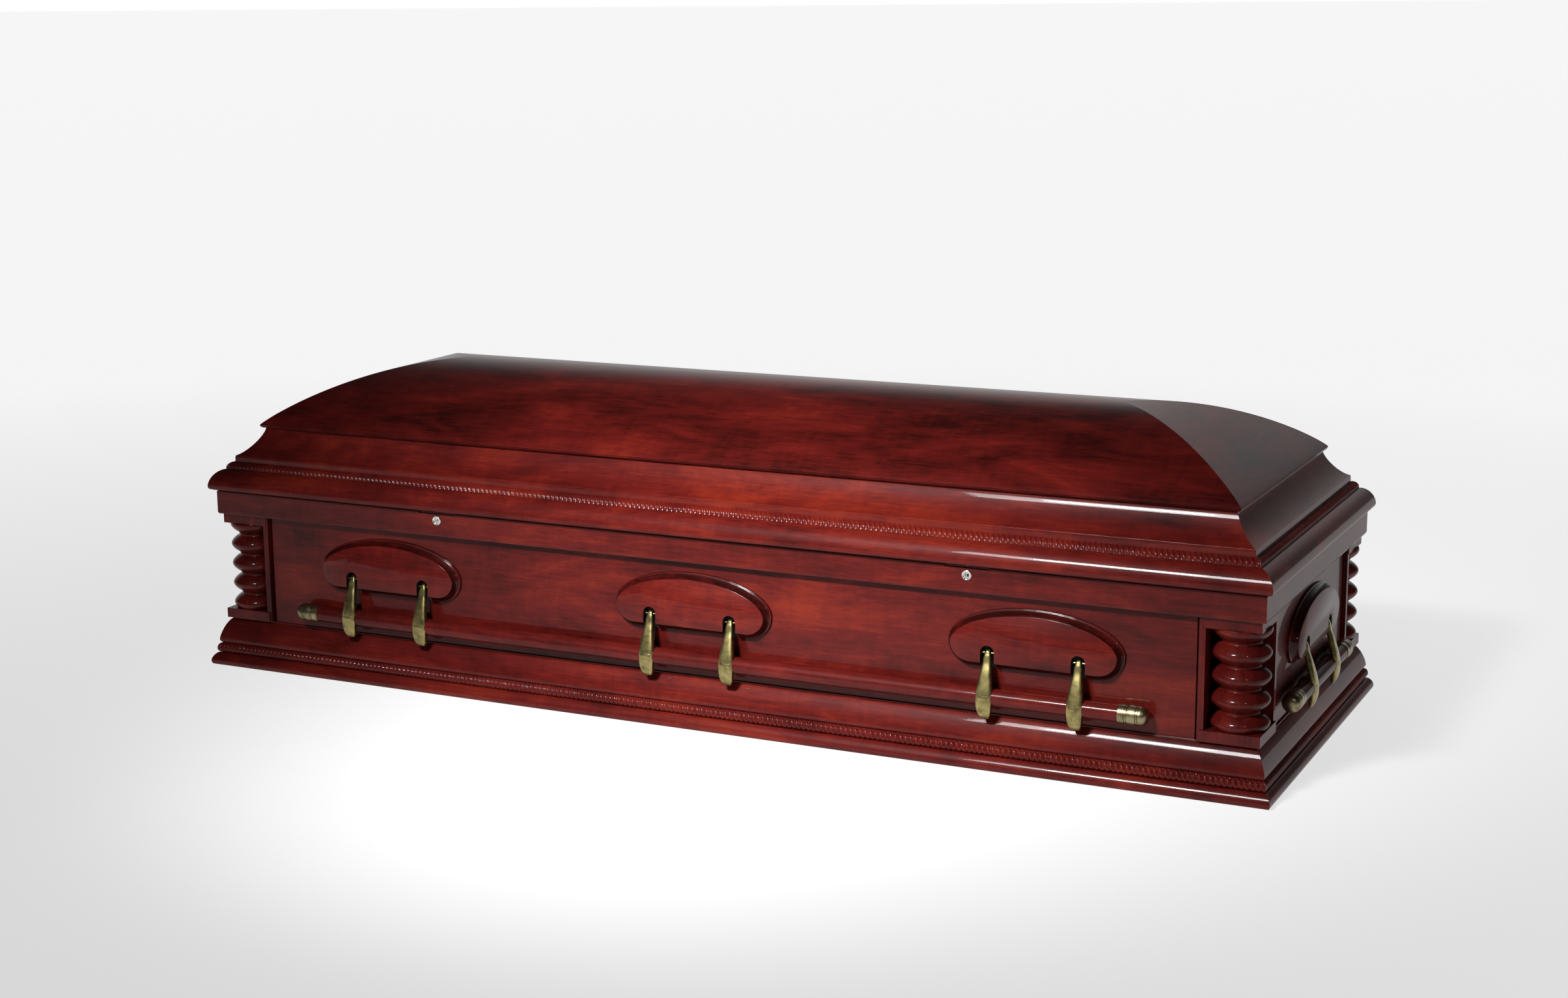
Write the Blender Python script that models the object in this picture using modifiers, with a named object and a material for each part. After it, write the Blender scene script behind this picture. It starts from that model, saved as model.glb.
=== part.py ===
"""Funeral casket: a panelled box with ringed corner columns, a crowned lid and swing-bar handles."""
import math

import bmesh
import bpy
from mathutils import Matrix

# Overall layout: every face is measured outward from the face of the wall panels
PANEL_HALF_LENGTH = 1.022
PANEL_HALF_WIDTH = 0.3445
BOARD = 0.019
GAP = 0.0003
WELD = 0.00001
FLAT_ANGLE = 0.002
SHARP_ANGLE = math.radians(32.0)

# Heights of the levels, from the underside
FLOOR_BOARD_BOTTOM = 0.008
FLOOR_BOARD_TOP = 0.026
BASE_TOP = 0.092
PLINTH_TOP = 0.1109
TOP_BLOCK_BOTTOM = 0.2828
BAND_BOTTOM = 0.3015
BAND_TOP = 0.3465
LID_BOTTOM = BAND_TOP + GAP
COVE_TOP = 0.4647
CROWN_LIP = 0.4708

# Base moulding
BASE_FOOT_OUT = 0.033
BASE_LIP_OUT = 0.0364
BASE_LIP_HEIGHT = 0.008
BASE_LIP_TOP_OUT = 0.0252
BASE_LIP_TOP = 0.0228
SHOULDER_FOOT_OUT = 0.0195
SHOULDER_OUT = 0.0224
SHOULDER_TOP = 0.045
OVOLO_OUT = 0.0234
OVOLO_FOOT = 0.048
OVOLO_TOP_OUT = 0.0032
OVOLO_TOP = 0.0895

# Rope beads, as the plain rods that their twist is cut in
BASE_ROPE_SEAT_OUT = 0.014
BASE_ROPE_FOOT_OUT = 0.0205
BASE_ROPE_HEAD_OUT = 0.0195
BASE_ROPE_MIDDLE = 0.031
BASE_ROPE_TOP = 0.0418
BASE_ROPE_OUT = 0.0273
LID_ROPE_SEAT_OUT = -0.0115
LID_ROPE_BOTTOM = 0.3887
LID_ROPE_TOP = 0.4024
LID_ROPE_OUT = 0.0015
LID_ROPE_EDGE = 0.002

# Walls
GROOVE_WIDTH = 0.0052
GROOVE_DEPTH = 0.006
FIELD_TOP = 0.2985
BAND_FOOT_OUT = 0.0146
BAND_OUT = 0.016
BAND_CHAMFER = 0.003
BAND_EASE = 0.001

# Corner posts, measured inward from the outer face of the top block
BLOCK_OUT = 0.0084
BLOCK_SIDE = 0.1001
PLINTH_OUT = 0.0105
STILE_SETBACK = 0.001
NICHE_SIDE = 0.093
STILE_SIDE = 0.1037
POST_INNER_SIDE = 0.112
POST_LAP = 0.004

# Turned columns
COLUMN_SETBACK = 0.0435
COLUMN_NECK_RADIUS = 0.032
COLUMN_RING_RADIUS = 0.049
COLUMN_RING_PITCH = 0.0393
COLUMN_TOP_NECK = 0.2966
COLUMN_LEAST_STEP = 0.002
COLUMN_SEGMENTS = 14

# Lid
LID_NOSE_OUT = 0.0281
LID_NOSE_HEIGHT = 0.3557
SOFFIT_INNER_OUT = 0.0137
SOFFIT_BEND_OUT = 0.0185
SOFFIT_BEND_RISE = 0.0012
SOFFIT_EDGE_OUT = 0.0265
SOFFIT_EDGE_RISE = 0.0046
FILLET_TOP = 0.4096
COVE_FOOT_OUT = -0.0125
COVE_FOOT = 0.414
COVE_TOP_OUT = -0.0555
HOLLOW_TOP_DROP = 0.016
HOLLOW_UPPER_OUT = -0.058
HOLLOW_UPPER = 0.427
HOLLOW_LOWER_OUT = -0.034
HOLLOW_LOWER = 0.404
HOLLOW_FOOT = 0.385
CROWN_SEAT_OUT = -0.0515
CROWN_DRIP_OUT = -0.0485
CROWN_DRIP = 0.4668
CROWN_LIP_OUT = -0.0469
CROWN_RISE = 0.1101
CROWN_WALL = 0.018
CROWN_WALL_START = 0.115
CROWN_BEND = 1.93
CROWN_SWELL = 1.109

# Key sockets, placed from the ends of the panels
LOCK_INSET = 0.494
LOCK_X = PANEL_HALF_LENGTH - LOCK_INSET
LOCK_HEIGHT = 0.332
LOCK_RADIUS = 0.009
LOCK_DEPTH = 0.016
LOCK_RING = 0.0024
LOCK_RING_EDGE = 0.0008
LOCK_FACE_OUT = 0.0006
LOCK_FLANGE = 0.0012
LOCK_KEY_ACROSS = 0.0055
LOCK_KEY_DEPTH = 0.006
LOCK_SEGMENTS = 12
NOTCH_LENGTH = 0.08
NOTCH_HEIGHT = 0.003
NOTCH_DEPTH = 0.003
CUT_OVERRUN = 0.01

# Handle plates
PLATE_HALF_LENGTH = 0.157
PLATE_BOTTOM = 0.173
PLATE_SHOULDER = 0.215
PLATE_TOP = 0.281
PLATE_THICKNESS = 0.018
PLATE_BEVEL = 0.009
PLATE_CORNER = 0.045
PLATE_INSET = 0.376
PLATE_SPACING = PANEL_HALF_LENGTH - PLATE_INSET
SLOT_OFFSET = 0.08
SLOT_WIDTH = 0.025
SLOT_TOP = 0.214

# Swing-bar handles: the pivot stands in the slot, the bar hangs below it
PIVOT_OUT = 0.010
PIVOT_HEIGHT = 0.200
HUB_RADIUS = 0.008
PIN_RADIUS = 0.003
PIN_SEGMENTS = 6
BAR_OUT = 0.020
BAR_HEIGHT = 0.1255
BAR_RADIUS = 0.0155
BAR_CLEARANCE = 0.0003
EYE_WALL = 0.0025
EYE_RADIUS = BAR_RADIUS + EYE_WALL
ARM_FOOT_OUT = 0.0285
ARM_FOOT_HEIGHT = 0.0915
ARM_FOOT_DEPTH = 0.0075
ARM_FOOT_HEEL = 0.003
ARM_KNEE_OUT = 0.0345
ARM_KNEE = 0.148
ARM_BEND_OUT = 0.027
ARM_BEND = 0.172
ARM_NECK_WIDTH = 0.012
ARM_LEAF_WIDTH = 0.030
ARM_FOOT_WIDTH = 0.019
ARM_NECK_END = 0.192
ARM_LEAF_TOP = 0.145
ARM_LEAF_BOTTOM = 0.107
BAR_SEGMENTS = 12
CAP_SEGMENTS = 10
CAP_LENGTH = 0.05
CAP_RING = 0.0017
CAP_RING_WIDTH = 0.006
CAP_RING_STEP = 0.003
CAP_SLEEVE = 0.0002
CAP_DOME = 0.014
CAP_TIP_RADIUS = 0.006
BAR_SHOW = 0.059
BAR_OVERHANG = 0.5 * ARM_LEAF_WIDTH + BAR_SHOW + CAP_LENGTH
SIDE_BAR_HALF_LENGTH = PLATE_SPACING + SLOT_OFFSET + BAR_OVERHANG
END_BAR_HALF_LENGTH = SLOT_OFFSET + BAR_OVERHANG

# The four walls: name, turn about the vertical, distance of the panel face from the centre
WALLS = {
    "front": (0.0, PANEL_HALF_WIDTH),
    "right_end": (0.5 * math.pi, PANEL_HALF_LENGTH),
    "back": (math.pi, PANEL_HALF_WIDTH),
    "left_end": (1.5 * math.pi, PANEL_HALF_LENGTH),
}
CORNERS = {
    "front_left": (-1, -1),
    "front_right": (1, -1),
    "back_left": (-1, 1),
    "back_right": (1, 1),
}


# Scene and materials
def clear_scene():
    """Removes whatever objects the scene holds."""
    for other in list(bpy.data.objects):
        bpy.data.objects.remove(other, do_unlink=True)


def new_collection(name, cutters=False):
    """Makes a collection in the scene; one for cutters is left out of renders."""
    group = bpy.data.collections.new(name)
    group.hide_render = cutters
    bpy.context.scene.collection.children.link(group)
    return group


def surface(name, colour, metallic, roughness, coat=0.0):
    """A plain surface of one colour."""
    material = bpy.data.materials.new(name)
    material.use_nodes = True
    shader = material.node_tree.nodes["Principled BSDF"]
    shader.inputs["Base Color"].default_value = (*colour, 1.0)
    shader.inputs["Metallic"].default_value = metallic
    shader.inputs["Roughness"].default_value = roughness
    shader.inputs["Coat Weight"].default_value = coat
    return material


def cherry_lacquer():
    """Red-brown cherry wood under gloss lacquer."""
    return surface("cherry_lacquer", (0.19, 0.022, 0.016), 0.0, 0.3, 1.0)


def inner_wood():
    """Plain sealed wood of the unseen floor."""
    return surface("sealed_wood", (0.42, 0.24, 0.12), 0.0, 0.6)


def antique_brass():
    """Brass darkened to an olive gold."""
    return surface("antique_brass", (0.34, 0.28, 0.15), 1.0, 0.35)


def nickel():
    """Bright nickel plate."""
    return surface("nickel_plate", (0.72, 0.69, 0.64), 1.0, 0.2)


# Mesh helpers
def finish_mesh(name, mesh):
    """Turns a working mesh into mesh data with its faces outward."""
    bmesh.ops.remove_doubles(mesh, verts=mesh.verts, dist=WELD)
    bmesh.ops.recalc_face_normals(mesh, faces=mesh.faces)
    data = bpy.data.meshes.new(name)
    mesh.to_mesh(data)
    mesh.free()
    data.shade_smooth()
    data.set_sharp_from_angle(angle=SHARP_ANGLE)
    return data


def place(name, data, material, group, matrix=None):
    """Links an object that shows the mesh data in the given place."""
    thing = bpy.data.objects.new(name, data)
    if group.hide_render:
        thing.display_type = "WIRE"
    if material is not None and not data.materials:
        data.materials.append(material)
    if matrix is not None:
        thing.matrix_world = matrix
    group.objects.link(thing)
    return thing


def wall_matrix(wall, along=0.0, out=0.0, height=0.0):
    """The place on a wall: X runs along it, -Y points out of it, the origin lies in the panel face."""
    angle, distance = WALLS[wall]
    return Matrix.Rotation(angle, 4, "Z") @ Matrix.Translation((along, -distance - out, height))


def rounded(start, end, power, steps):
    """Points of a convex quarter curve, upright at its start and level at its end."""
    points = []
    for i in range(steps + 1):
        angle = 0.5 * math.pi * i / steps
        across = max(math.cos(angle), 0.0) ** (2.0 / power)
        up = math.sin(angle) ** (2.0 / power)
        points.append((end[0] + (start[0] - end[0]) * across, start[1] + (end[1] - start[1]) * up))
    return points


def hollowed(start, end, power, steps):
    """Points of a concave quarter curve, level at its start and upright at its end."""
    points = rounded(start, end, power, steps)
    return [(start[0] + end[0] - x, start[1] + end[1] - z) for x, z in reversed(points)]


def frame_mesh(name, outline, closed=True):
    """A moulding round the casket with mitred corners, from an outline of (outward distance, height).

    The outline is turned in four steps, then the corners are drawn out to the rectangle of the panel faces.
    """
    reach = PANEL_HALF_WIDTH + 1.0
    mesh = bmesh.new()
    verts = [mesh.verts.new((reach + out, reach + out, height)) for out, height in outline]
    edges = [mesh.edges.new(pair) for pair in zip(verts, verts[1:])]
    if closed:
        edges.append(mesh.edges.new((verts[-1], verts[0])))
    bmesh.ops.spin(mesh, geom=verts + edges, cent=(0, 0, 0), axis=(0, 0, 1), angle=2 * math.pi, steps=4,
                   use_merge=True)
    for vert in mesh.verts:
        vert.co.x += math.copysign(1.0, vert.co.x) * (PANEL_HALF_LENGTH - reach)
        vert.co.y += math.copysign(1.0, vert.co.y) * (PANEL_HALF_WIDTH - reach)
    return finish_mesh(name, mesh)


def outline_mesh(name, points, low, high, matrix=None):
    """A flat closed outline in X and Y, filled and drawn out from one height to another."""
    curve = bpy.data.curves.new(name, "CURVE")
    curve.dimensions = "2D"
    curve.fill_mode = "BOTH"
    curve.extrude = 0.5 * (high - low)
    spline = curve.splines.new("POLY")
    spline.points.add(len(points) - 1)
    for point, (x, y) in zip(spline.points, points):
        point.co = (x, y, 0.0, 1.0)
    spline.use_cyclic_u = True
    drawing = bpy.data.objects.new(name, curve)
    bpy.context.scene.collection.objects.link(drawing)
    bpy.context.view_layer.update()
    seen = drawing.evaluated_get(bpy.context.evaluated_depsgraph_get())
    mesh = bmesh.new()
    mesh.from_mesh(bpy.data.meshes.new_from_object(seen))
    bpy.data.objects.remove(drawing, do_unlink=True)
    bmesh.ops.remove_doubles(mesh, verts=mesh.verts, dist=WELD)
    bmesh.ops.dissolve_limit(mesh, angle_limit=FLAT_ANGLE, verts=mesh.verts, edges=mesh.edges)
    bmesh.ops.translate(mesh, verts=mesh.verts, vec=(0.0, 0.0, 0.5 * (low + high)))
    if matrix is not None:
        bmesh.ops.transform(mesh, matrix=matrix, verts=mesh.verts)
    return finish_mesh(name, mesh)


def box_mesh(name, low, high):
    """A box between two opposite corners."""
    mesh = bmesh.new()
    size = [b - a for a, b in zip(low, high)]
    centre = [0.5 * (a + b) for a, b in zip(low, high)]
    matrix = Matrix.Translation(centre) @ Matrix.Diagonal((*size, 1.0))
    bmesh.ops.create_cube(mesh, size=1.0, matrix=matrix)
    return finish_mesh(name, mesh)


def cylinder_mesh(name, radius, low, high, segments, matrix=None):
    """A cylinder about Z between two heights, or a prism when it has few sides."""
    mesh = bmesh.new()
    middle = Matrix.Translation((0.0, 0.0, 0.5 * (low + high)))
    place_at = middle if matrix is None else matrix @ middle
    bmesh.ops.create_cone(mesh, cap_ends=True, segments=segments, radius1=radius, radius2=radius,
                          depth=high - low, matrix=place_at)
    return finish_mesh(name, mesh)


def profile_mesh(name, profile):
    """The outer side of a turned piece, top to bottom, as (radius, height) from axis to axis."""
    mesh = bmesh.new()
    top = (0.0, profile[0][1])
    bottom = (0.0, profile[-1][1])
    verts = [mesh.verts.new((radius, 0.0, height)) for radius, height in [top] + profile + [bottom]]
    for pair in zip(verts, verts[1:]):
        mesh.edges.new(pair)
    data = bpy.data.meshes.new(name)
    mesh.to_mesh(data)
    mesh.free()
    return data


def turn(thing, segments):
    """Turns an object's profile about its Z axis."""
    lathe = thing.modifiers.new("lathe", "SCREW")
    lathe.axis = "Z"
    lathe.steps = segments
    lathe.render_steps = segments
    lathe.use_merge_vertices = True
    lathe.merge_threshold = WELD
    lathe.use_smooth_shade = True
    return thing


def join_solids(thing, operation, others):
    """Joins other solids to an object or cuts them out of it, and keeps the result as its mesh."""
    for other in others:
        step = thing.modifiers.new(operation.lower(), "BOOLEAN")
        step.operation = operation
        step.solver = "EXACT"
        step.object = other
    bpy.context.view_layer.update()
    seen = thing.evaluated_get(bpy.context.evaluated_depsgraph_get())
    data = bpy.data.meshes.new_from_object(seen)
    mesh = bmesh.new()
    mesh.from_mesh(data)
    bmesh.ops.remove_doubles(mesh, verts=mesh.verts, dist=WELD)
    bmesh.ops.dissolve_limit(mesh, angle_limit=FLAT_ANGLE, verts=mesh.verts, edges=mesh.edges)
    mesh.to_mesh(data)
    mesh.free()
    thing.modifiers.clear()
    thing.data = data
    for other in others:
        bpy.data.objects.remove(other, do_unlink=True)
    return thing


# Base
def base_outline():
    """The foot, the rounded lip, the seat of the rope bead and the ovolo above it."""
    foot = rounded((BASE_LIP_OUT, BASE_LIP_HEIGHT), (BASE_FOOT_OUT, 0.0), 2.0, 2)
    lip = rounded((BASE_LIP_OUT, BASE_LIP_HEIGHT), (BASE_LIP_TOP_OUT, BASE_LIP_TOP), 1.5, 4)
    seat = [(BASE_ROPE_SEAT_OUT, BASE_LIP_TOP), (BASE_ROPE_SEAT_OUT, BASE_ROPE_TOP + GAP)]
    shoulder = [(SHOULDER_FOOT_OUT, BASE_ROPE_TOP + GAP), (SHOULDER_OUT, SHOULDER_TOP)]
    ovolo = rounded((OVOLO_OUT, OVOLO_FOOT), (OVOLO_TOP_OUT, OVOLO_TOP), 1.4, 6)
    top = [(OVOLO_TOP_OUT, BASE_TOP), (GAP, BASE_TOP)]
    return [(GAP, 0.0)] + foot[::-1] + lip[1:] + seat + shoulder + ovolo + top


def base_rope_outline():
    """The half-round bead in its seat."""
    bottom = BASE_LIP_TOP + GAP
    low = rounded((BASE_ROPE_OUT, BASE_ROPE_MIDDLE), (BASE_ROPE_FOOT_OUT, bottom), 2.0, 3)
    high = rounded((BASE_ROPE_OUT, BASE_ROPE_MIDDLE), (BASE_ROPE_HEAD_OUT, BASE_ROPE_TOP), 2.0, 3)
    back = BASE_ROPE_SEAT_OUT + GAP
    return [(back, bottom)] + low[::-1] + high[1:] + [(back, BASE_ROPE_TOP)]


def build_base(group, wood, plain):
    """The base moulding, its rope bead and the floor board, which lies between the walls and the posts."""
    place("base_moulding", frame_mesh("base_moulding", base_outline()), wood, group)
    place("base_rope", frame_mesh("base_rope", base_rope_outline()), wood, group)
    wall = BOARD + GAP
    post = POST_INNER_SIDE - BLOCK_OUT + GAP
    x = (PANEL_HALF_LENGTH - wall, PANEL_HALF_LENGTH - post)
    y = (PANEL_HALF_WIDTH - wall, PANEL_HALF_WIDTH - post)
    quarter = [(x[0], y[1]), (x[1], y[1]), (x[1], y[0])]
    outline = quarter + [(-u, v) for u, v in quarter[::-1]]
    outline += [(-u, -v) for u, v in quarter] + [(u, -v) for u, v in quarter[::-1]]
    data = outline_mesh("floor_board", outline, FLOOR_BOARD_BOTTOM, FLOOR_BOARD_TOP)
    place("floor_board", data, plain, group)


# Walls
def build_panel(group, wood, wall, half_length):
    """A board with a raised field between shallow grooves; the wall goes down past the floor board."""
    tongue = half_length - GAP
    field = half_length - GROOVE_WIDTH
    foot = FLOOR_BOARD_BOTTOM
    name = wall + "_panel"
    data = box_mesh(name, (-tongue, GROOVE_DEPTH, foot), (tongue, BOARD, BAND_BOTTOM - GAP))
    board = place(name, data, wood, group, wall_matrix(wall))
    # The raised field reaches into the board, so that the two join as one solid
    data = box_mesh("field", (-field, 0.0, foot), (field, 2 * GROOVE_DEPTH, FIELD_TOP))
    join_solids(board, "UNION", [place("field", data, wood, group, wall_matrix(wall))])


def corner_outline(corner, points):
    """Turns points measured inward from the outer faces of a corner's top block into X and Y."""
    sign_x, sign_y = CORNERS[corner]
    edge_x = PANEL_HALF_LENGTH + BLOCK_OUT
    edge_y = PANEL_HALF_WIDTH + BLOCK_OUT
    return [(sign_x * (edge_x - u), sign_y * (edge_y - v)) for u, v in points]


def square(low, high):
    """A square with its corners on the diagonal."""
    return [(low, low), (high, low), (high, high), (low, high)]


def build_corner_post(group, wood, corner):
    """An angle-shaped post round a square niche, with its foot, its plinth block and its top block."""
    back = BLOCK_OUT + BOARD + GAP
    angle = [
        (NICHE_SIDE, STILE_SETBACK),
        (STILE_SIDE, STILE_SETBACK),
        (STILE_SIDE, back),
        (POST_INNER_SIDE, back),
        (POST_INNER_SIDE, POST_INNER_SIDE),
        (back, POST_INNER_SIDE),
        (back, STILE_SIDE),
        (STILE_SETBACK, STILE_SIDE),
        (STILE_SETBACK, NICHE_SIDE),
        (NICHE_SIDE, NICHE_SIDE),
    ]
    foot = [
        (BLOCK_OUT, BLOCK_OUT),
        (STILE_SIDE, BLOCK_OUT),
        (STILE_SIDE, back),
        (POST_INNER_SIDE, back),
        (POST_INNER_SIDE, POST_INNER_SIDE),
        (back, POST_INNER_SIDE),
        (back, STILE_SIDE),
        (BLOCK_OUT, STILE_SIDE),
    ]
    plinth = square(BLOCK_OUT - PLINTH_OUT, BLOCK_SIDE)
    block = square(0.0, BLOCK_SIDE)
    top = BAND_BOTTOM - GAP
    name = "corner_post_" + corner
    post = place(name, outline_mesh(name, corner_outline(corner, angle), BASE_TOP + GAP, top), wood, group)
    solids = []
    for part, shape, low, high in (
        ("foot", foot, FLOOR_BOARD_BOTTOM, BASE_TOP + POST_LAP),
        ("plinth", plinth, BASE_TOP + GAP, PLINTH_TOP),
        ("block", block, TOP_BLOCK_BOTTOM, top),
    ):
        data = outline_mesh(part, corner_outline(corner, shape), low, high)
        solids.append(place(part, data, wood, group))
    join_solids(post, "UNION", solids)


def column_radius(height):
    """Each ring swells from a neck and falls back to the next one, a little fuller above its middle."""
    phase = ((COLUMN_TOP_NECK - height) / COLUMN_RING_PITCH) % 1.0
    swell = math.sin(math.pi * phase ** 0.888) ** 1.35
    return COLUMN_NECK_RADIUS + (COLUMN_RING_RADIUS - COLUMN_NECK_RADIUS) * swell


def column_profile():
    """Heights down the column at the bends of every ring, with the radius there."""
    top = TOP_BLOCK_BOTTOM - GAP
    bottom = PLINTH_TOP + GAP
    rings = math.ceil((COLUMN_TOP_NECK - bottom) / COLUMN_RING_PITCH)
    bends = []
    for ring in range(rings):
        for phase in (0.0, 0.14, 0.34, 0.57, 0.83):
            bends.append(COLUMN_TOP_NECK - (ring + phase) * COLUMN_RING_PITCH)
    kept = [h for h in bends if bottom + COLUMN_LEAST_STEP < h < top - COLUMN_LEAST_STEP]
    return [(column_radius(h), h) for h in [top] + kept + [bottom]]


def build_column(group, wood, data, corner):
    """A turned column in the niche of a corner post."""
    (x, y), = corner_outline(corner, [(COLUMN_SETBACK, COLUMN_SETBACK)])
    turn(place("column_" + corner, data, wood, group, Matrix.Translation((x, y, 0.0))), COLUMN_SEGMENTS)


def build_lock(group, cutters, metal, name, x):
    """A round key socket let into the band: a raised ring, a sunk face and a hexagonal hole."""
    face = PANEL_HALF_WIDTH + BAND_OUT
    profile = [
        (LOCK_RADIUS - LOCK_RING, LOCK_FACE_OUT),
        (LOCK_RADIUS - LOCK_RING_EDGE, LOCK_RING),
        (LOCK_RADIUS, LOCK_FACE_OUT),
        (LOCK_RADIUS - LOCK_FLANGE, 0.0),
        (LOCK_RADIUS - LOCK_FLANGE, -LOCK_DEPTH + GAP),
    ]
    outward = Matrix.Translation((x, -face, LOCK_HEIGHT)) @ Matrix.Rotation(0.5 * math.pi, 4, "X")
    socket = turn(place(name, profile_mesh(name, profile), metal, group, outward), LOCK_SEGMENTS)
    key = cylinder_mesh("key", LOCK_KEY_ACROSS / math.sqrt(3.0), -LOCK_KEY_DEPTH, CUT_OVERRUN, 6)
    join_solids(socket, "DIFFERENCE", [place("key", key, metal, cutters, outward)])


def build_band(group, cutters, wood, metal):
    """The band over the walls, with the bores of the lock sockets and the notches above them."""
    outline = [
        (-BOARD, BAND_BOTTOM),
        (BAND_FOOT_OUT, BAND_BOTTOM),
        (BAND_OUT, BAND_BOTTOM + BAND_CHAMFER),
        (BAND_OUT, BAND_TOP - BAND_EASE),
        (BAND_OUT - BAND_EASE, BAND_TOP),
        (-BOARD, BAND_TOP),
    ]
    band = place("top_band", frame_mesh("top_band", outline), wood, group)
    face = PANEL_HALF_WIDTH + BAND_OUT
    tools = []
    for x in (-LOCK_X, LOCK_X):
        outward = Matrix.Translation((x, -face, LOCK_HEIGHT)) @ Matrix.Rotation(0.5 * math.pi, 4, "X")
        radius = LOCK_RADIUS - LOCK_FLANGE + GAP
        bore = cylinder_mesh("bore", radius, -LOCK_DEPTH, CUT_OVERRUN, LOCK_SEGMENTS)
        tools.append(place("bore", bore, wood, cutters, outward))
        low = (x - 0.5 * NOTCH_LENGTH, -face - CUT_OVERRUN, BAND_TOP - NOTCH_HEIGHT)
        high = (x + 0.5 * NOTCH_LENGTH, -face + NOTCH_DEPTH, BAND_TOP + CUT_OVERRUN)
        tools.append(place("notch", box_mesh("notch", low, high), wood, cutters))
    join_solids(band, "DIFFERENCE", tools)
    build_lock(group, cutters, metal, "lock_socket_left", -LOCK_X)
    build_lock(group, cutters, metal, "lock_socket_right", LOCK_X)


# Lid
def lid_rim_outline():
    """The rounded rim, the step for the rope bead, the fillet and the cove, over a hollow back."""
    soffit = [
        (SOFFIT_INNER_OUT, LID_BOTTOM),
        (SOFFIT_BEND_OUT, LID_BOTTOM + SOFFIT_BEND_RISE),
        (SOFFIT_EDGE_OUT, LID_BOTTOM + SOFFIT_EDGE_RISE),
    ]
    rim = rounded((LID_NOSE_OUT, LID_NOSE_HEIGHT), (LID_ROPE_OUT, LID_ROPE_BOTTOM), 1.8, 7)
    step = [(LID_ROPE_SEAT_OUT, LID_ROPE_BOTTOM), (LID_ROPE_SEAT_OUT, FILLET_TOP)]
    cove = hollowed((COVE_FOOT_OUT, COVE_FOOT), (COVE_TOP_OUT, COVE_TOP), 1.35, 7)
    inner_out = COVE_TOP_OUT - BOARD
    inside = [
        (inner_out, COVE_TOP),
        (inner_out, COVE_TOP - HOLLOW_TOP_DROP),
        (HOLLOW_UPPER_OUT, HOLLOW_UPPER),
        (HOLLOW_LOWER_OUT, HOLLOW_LOWER),
        (-BOARD, HOLLOW_FOOT),
        (-BOARD, LID_BOTTOM),
    ]
    return soffit + rim + step + cove + inside


def lid_rope_outline():
    """The quarter-round bead in its step."""
    low = LID_ROPE_BOTTOM + GAP
    back = LID_ROPE_SEAT_OUT + GAP
    bead = rounded((LID_ROPE_OUT, low + LID_ROPE_EDGE), (back, LID_ROPE_TOP), 1.9, 5)
    return [(back, low), (LID_ROPE_OUT, low)] + bead


def crown_height(reach, half_span):
    """Height of the crown over its lip at a distance in from the lip."""
    part = min(max(reach / half_span, 0.0), 1.0)
    return CROWN_RISE * (1.0 - (1.0 - part) ** CROWN_BEND) ** (1.0 / CROWN_SWELL)


def crown_outline():
    """Half the crown's section: the vaulted top, the overhanging lip and the hollow underside."""
    half_span = PANEL_HALF_WIDTH + CROWN_LIP_OUT
    steps = 13
    reaches = [half_span * (i / steps) ** 1.45 for i in range(steps + 1)]
    outer = [(CROWN_LIP_OUT - reach, CROWN_LIP + crown_height(reach, half_span)) for reach in reaches]
    seat = COVE_TOP + GAP
    lip = [(COVE_TOP_OUT - BOARD, seat), (CROWN_SEAT_OUT, seat), (CROWN_DRIP_OUT, CROWN_DRIP)]
    inner = []
    stretches = 7
    for i in range(stretches + 1):
        part = CROWN_WALL_START + (1.0 - CROWN_WALL_START) * i / stretches
        before = crown_height(half_span * (part - 0.01), half_span)
        after = crown_height(half_span * (part + 0.01), half_span)
        slope = math.atan2(after - before, 0.02 * half_span)
        reach = half_span * part + CROWN_WALL * math.sin(slope)
        height = CROWN_LIP + crown_height(half_span * part, half_span) - CROWN_WALL * math.cos(slope)
        inner.append((max(CROWN_LIP_OUT - reach, -PANEL_HALF_WIDTH), height))
    return inner[::-1] + lip + outer


def build_lid(group, wood):
    """The rim, its rope bead and the hollow crown."""
    place("lid_rim", frame_mesh("lid_rim", lid_rim_outline()), wood, group)
    place("lid_rope", frame_mesh("lid_rope", lid_rope_outline()), wood, group)
    place("lid_crown", frame_mesh("lid_crown", crown_outline(), closed=False), wood, group)


# Handles
def plate_outline():
    """A half oval over a flat bottom with rounded lower corners."""
    points = []
    steps = 12
    for i in range(steps + 1):
        angle = math.pi * i / steps
        rise = (PLATE_TOP - PLATE_SHOULDER) * math.sin(angle)
        points.append((PLATE_HALF_LENGTH * math.cos(angle), PLATE_SHOULDER + rise))
    drop = PLATE_SHOULDER - PLATE_BOTTOM
    lower = []
    for i in range(1, 4):
        angle = 0.5 * math.pi * i / 3
        inward = PLATE_CORNER * (1.0 - math.cos(angle))
        lower.append((PLATE_HALF_LENGTH - inward, PLATE_SHOULDER - drop * math.sin(angle)))
    return points + [(-x, z) for x, z in lower] + lower[::-1]


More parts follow.
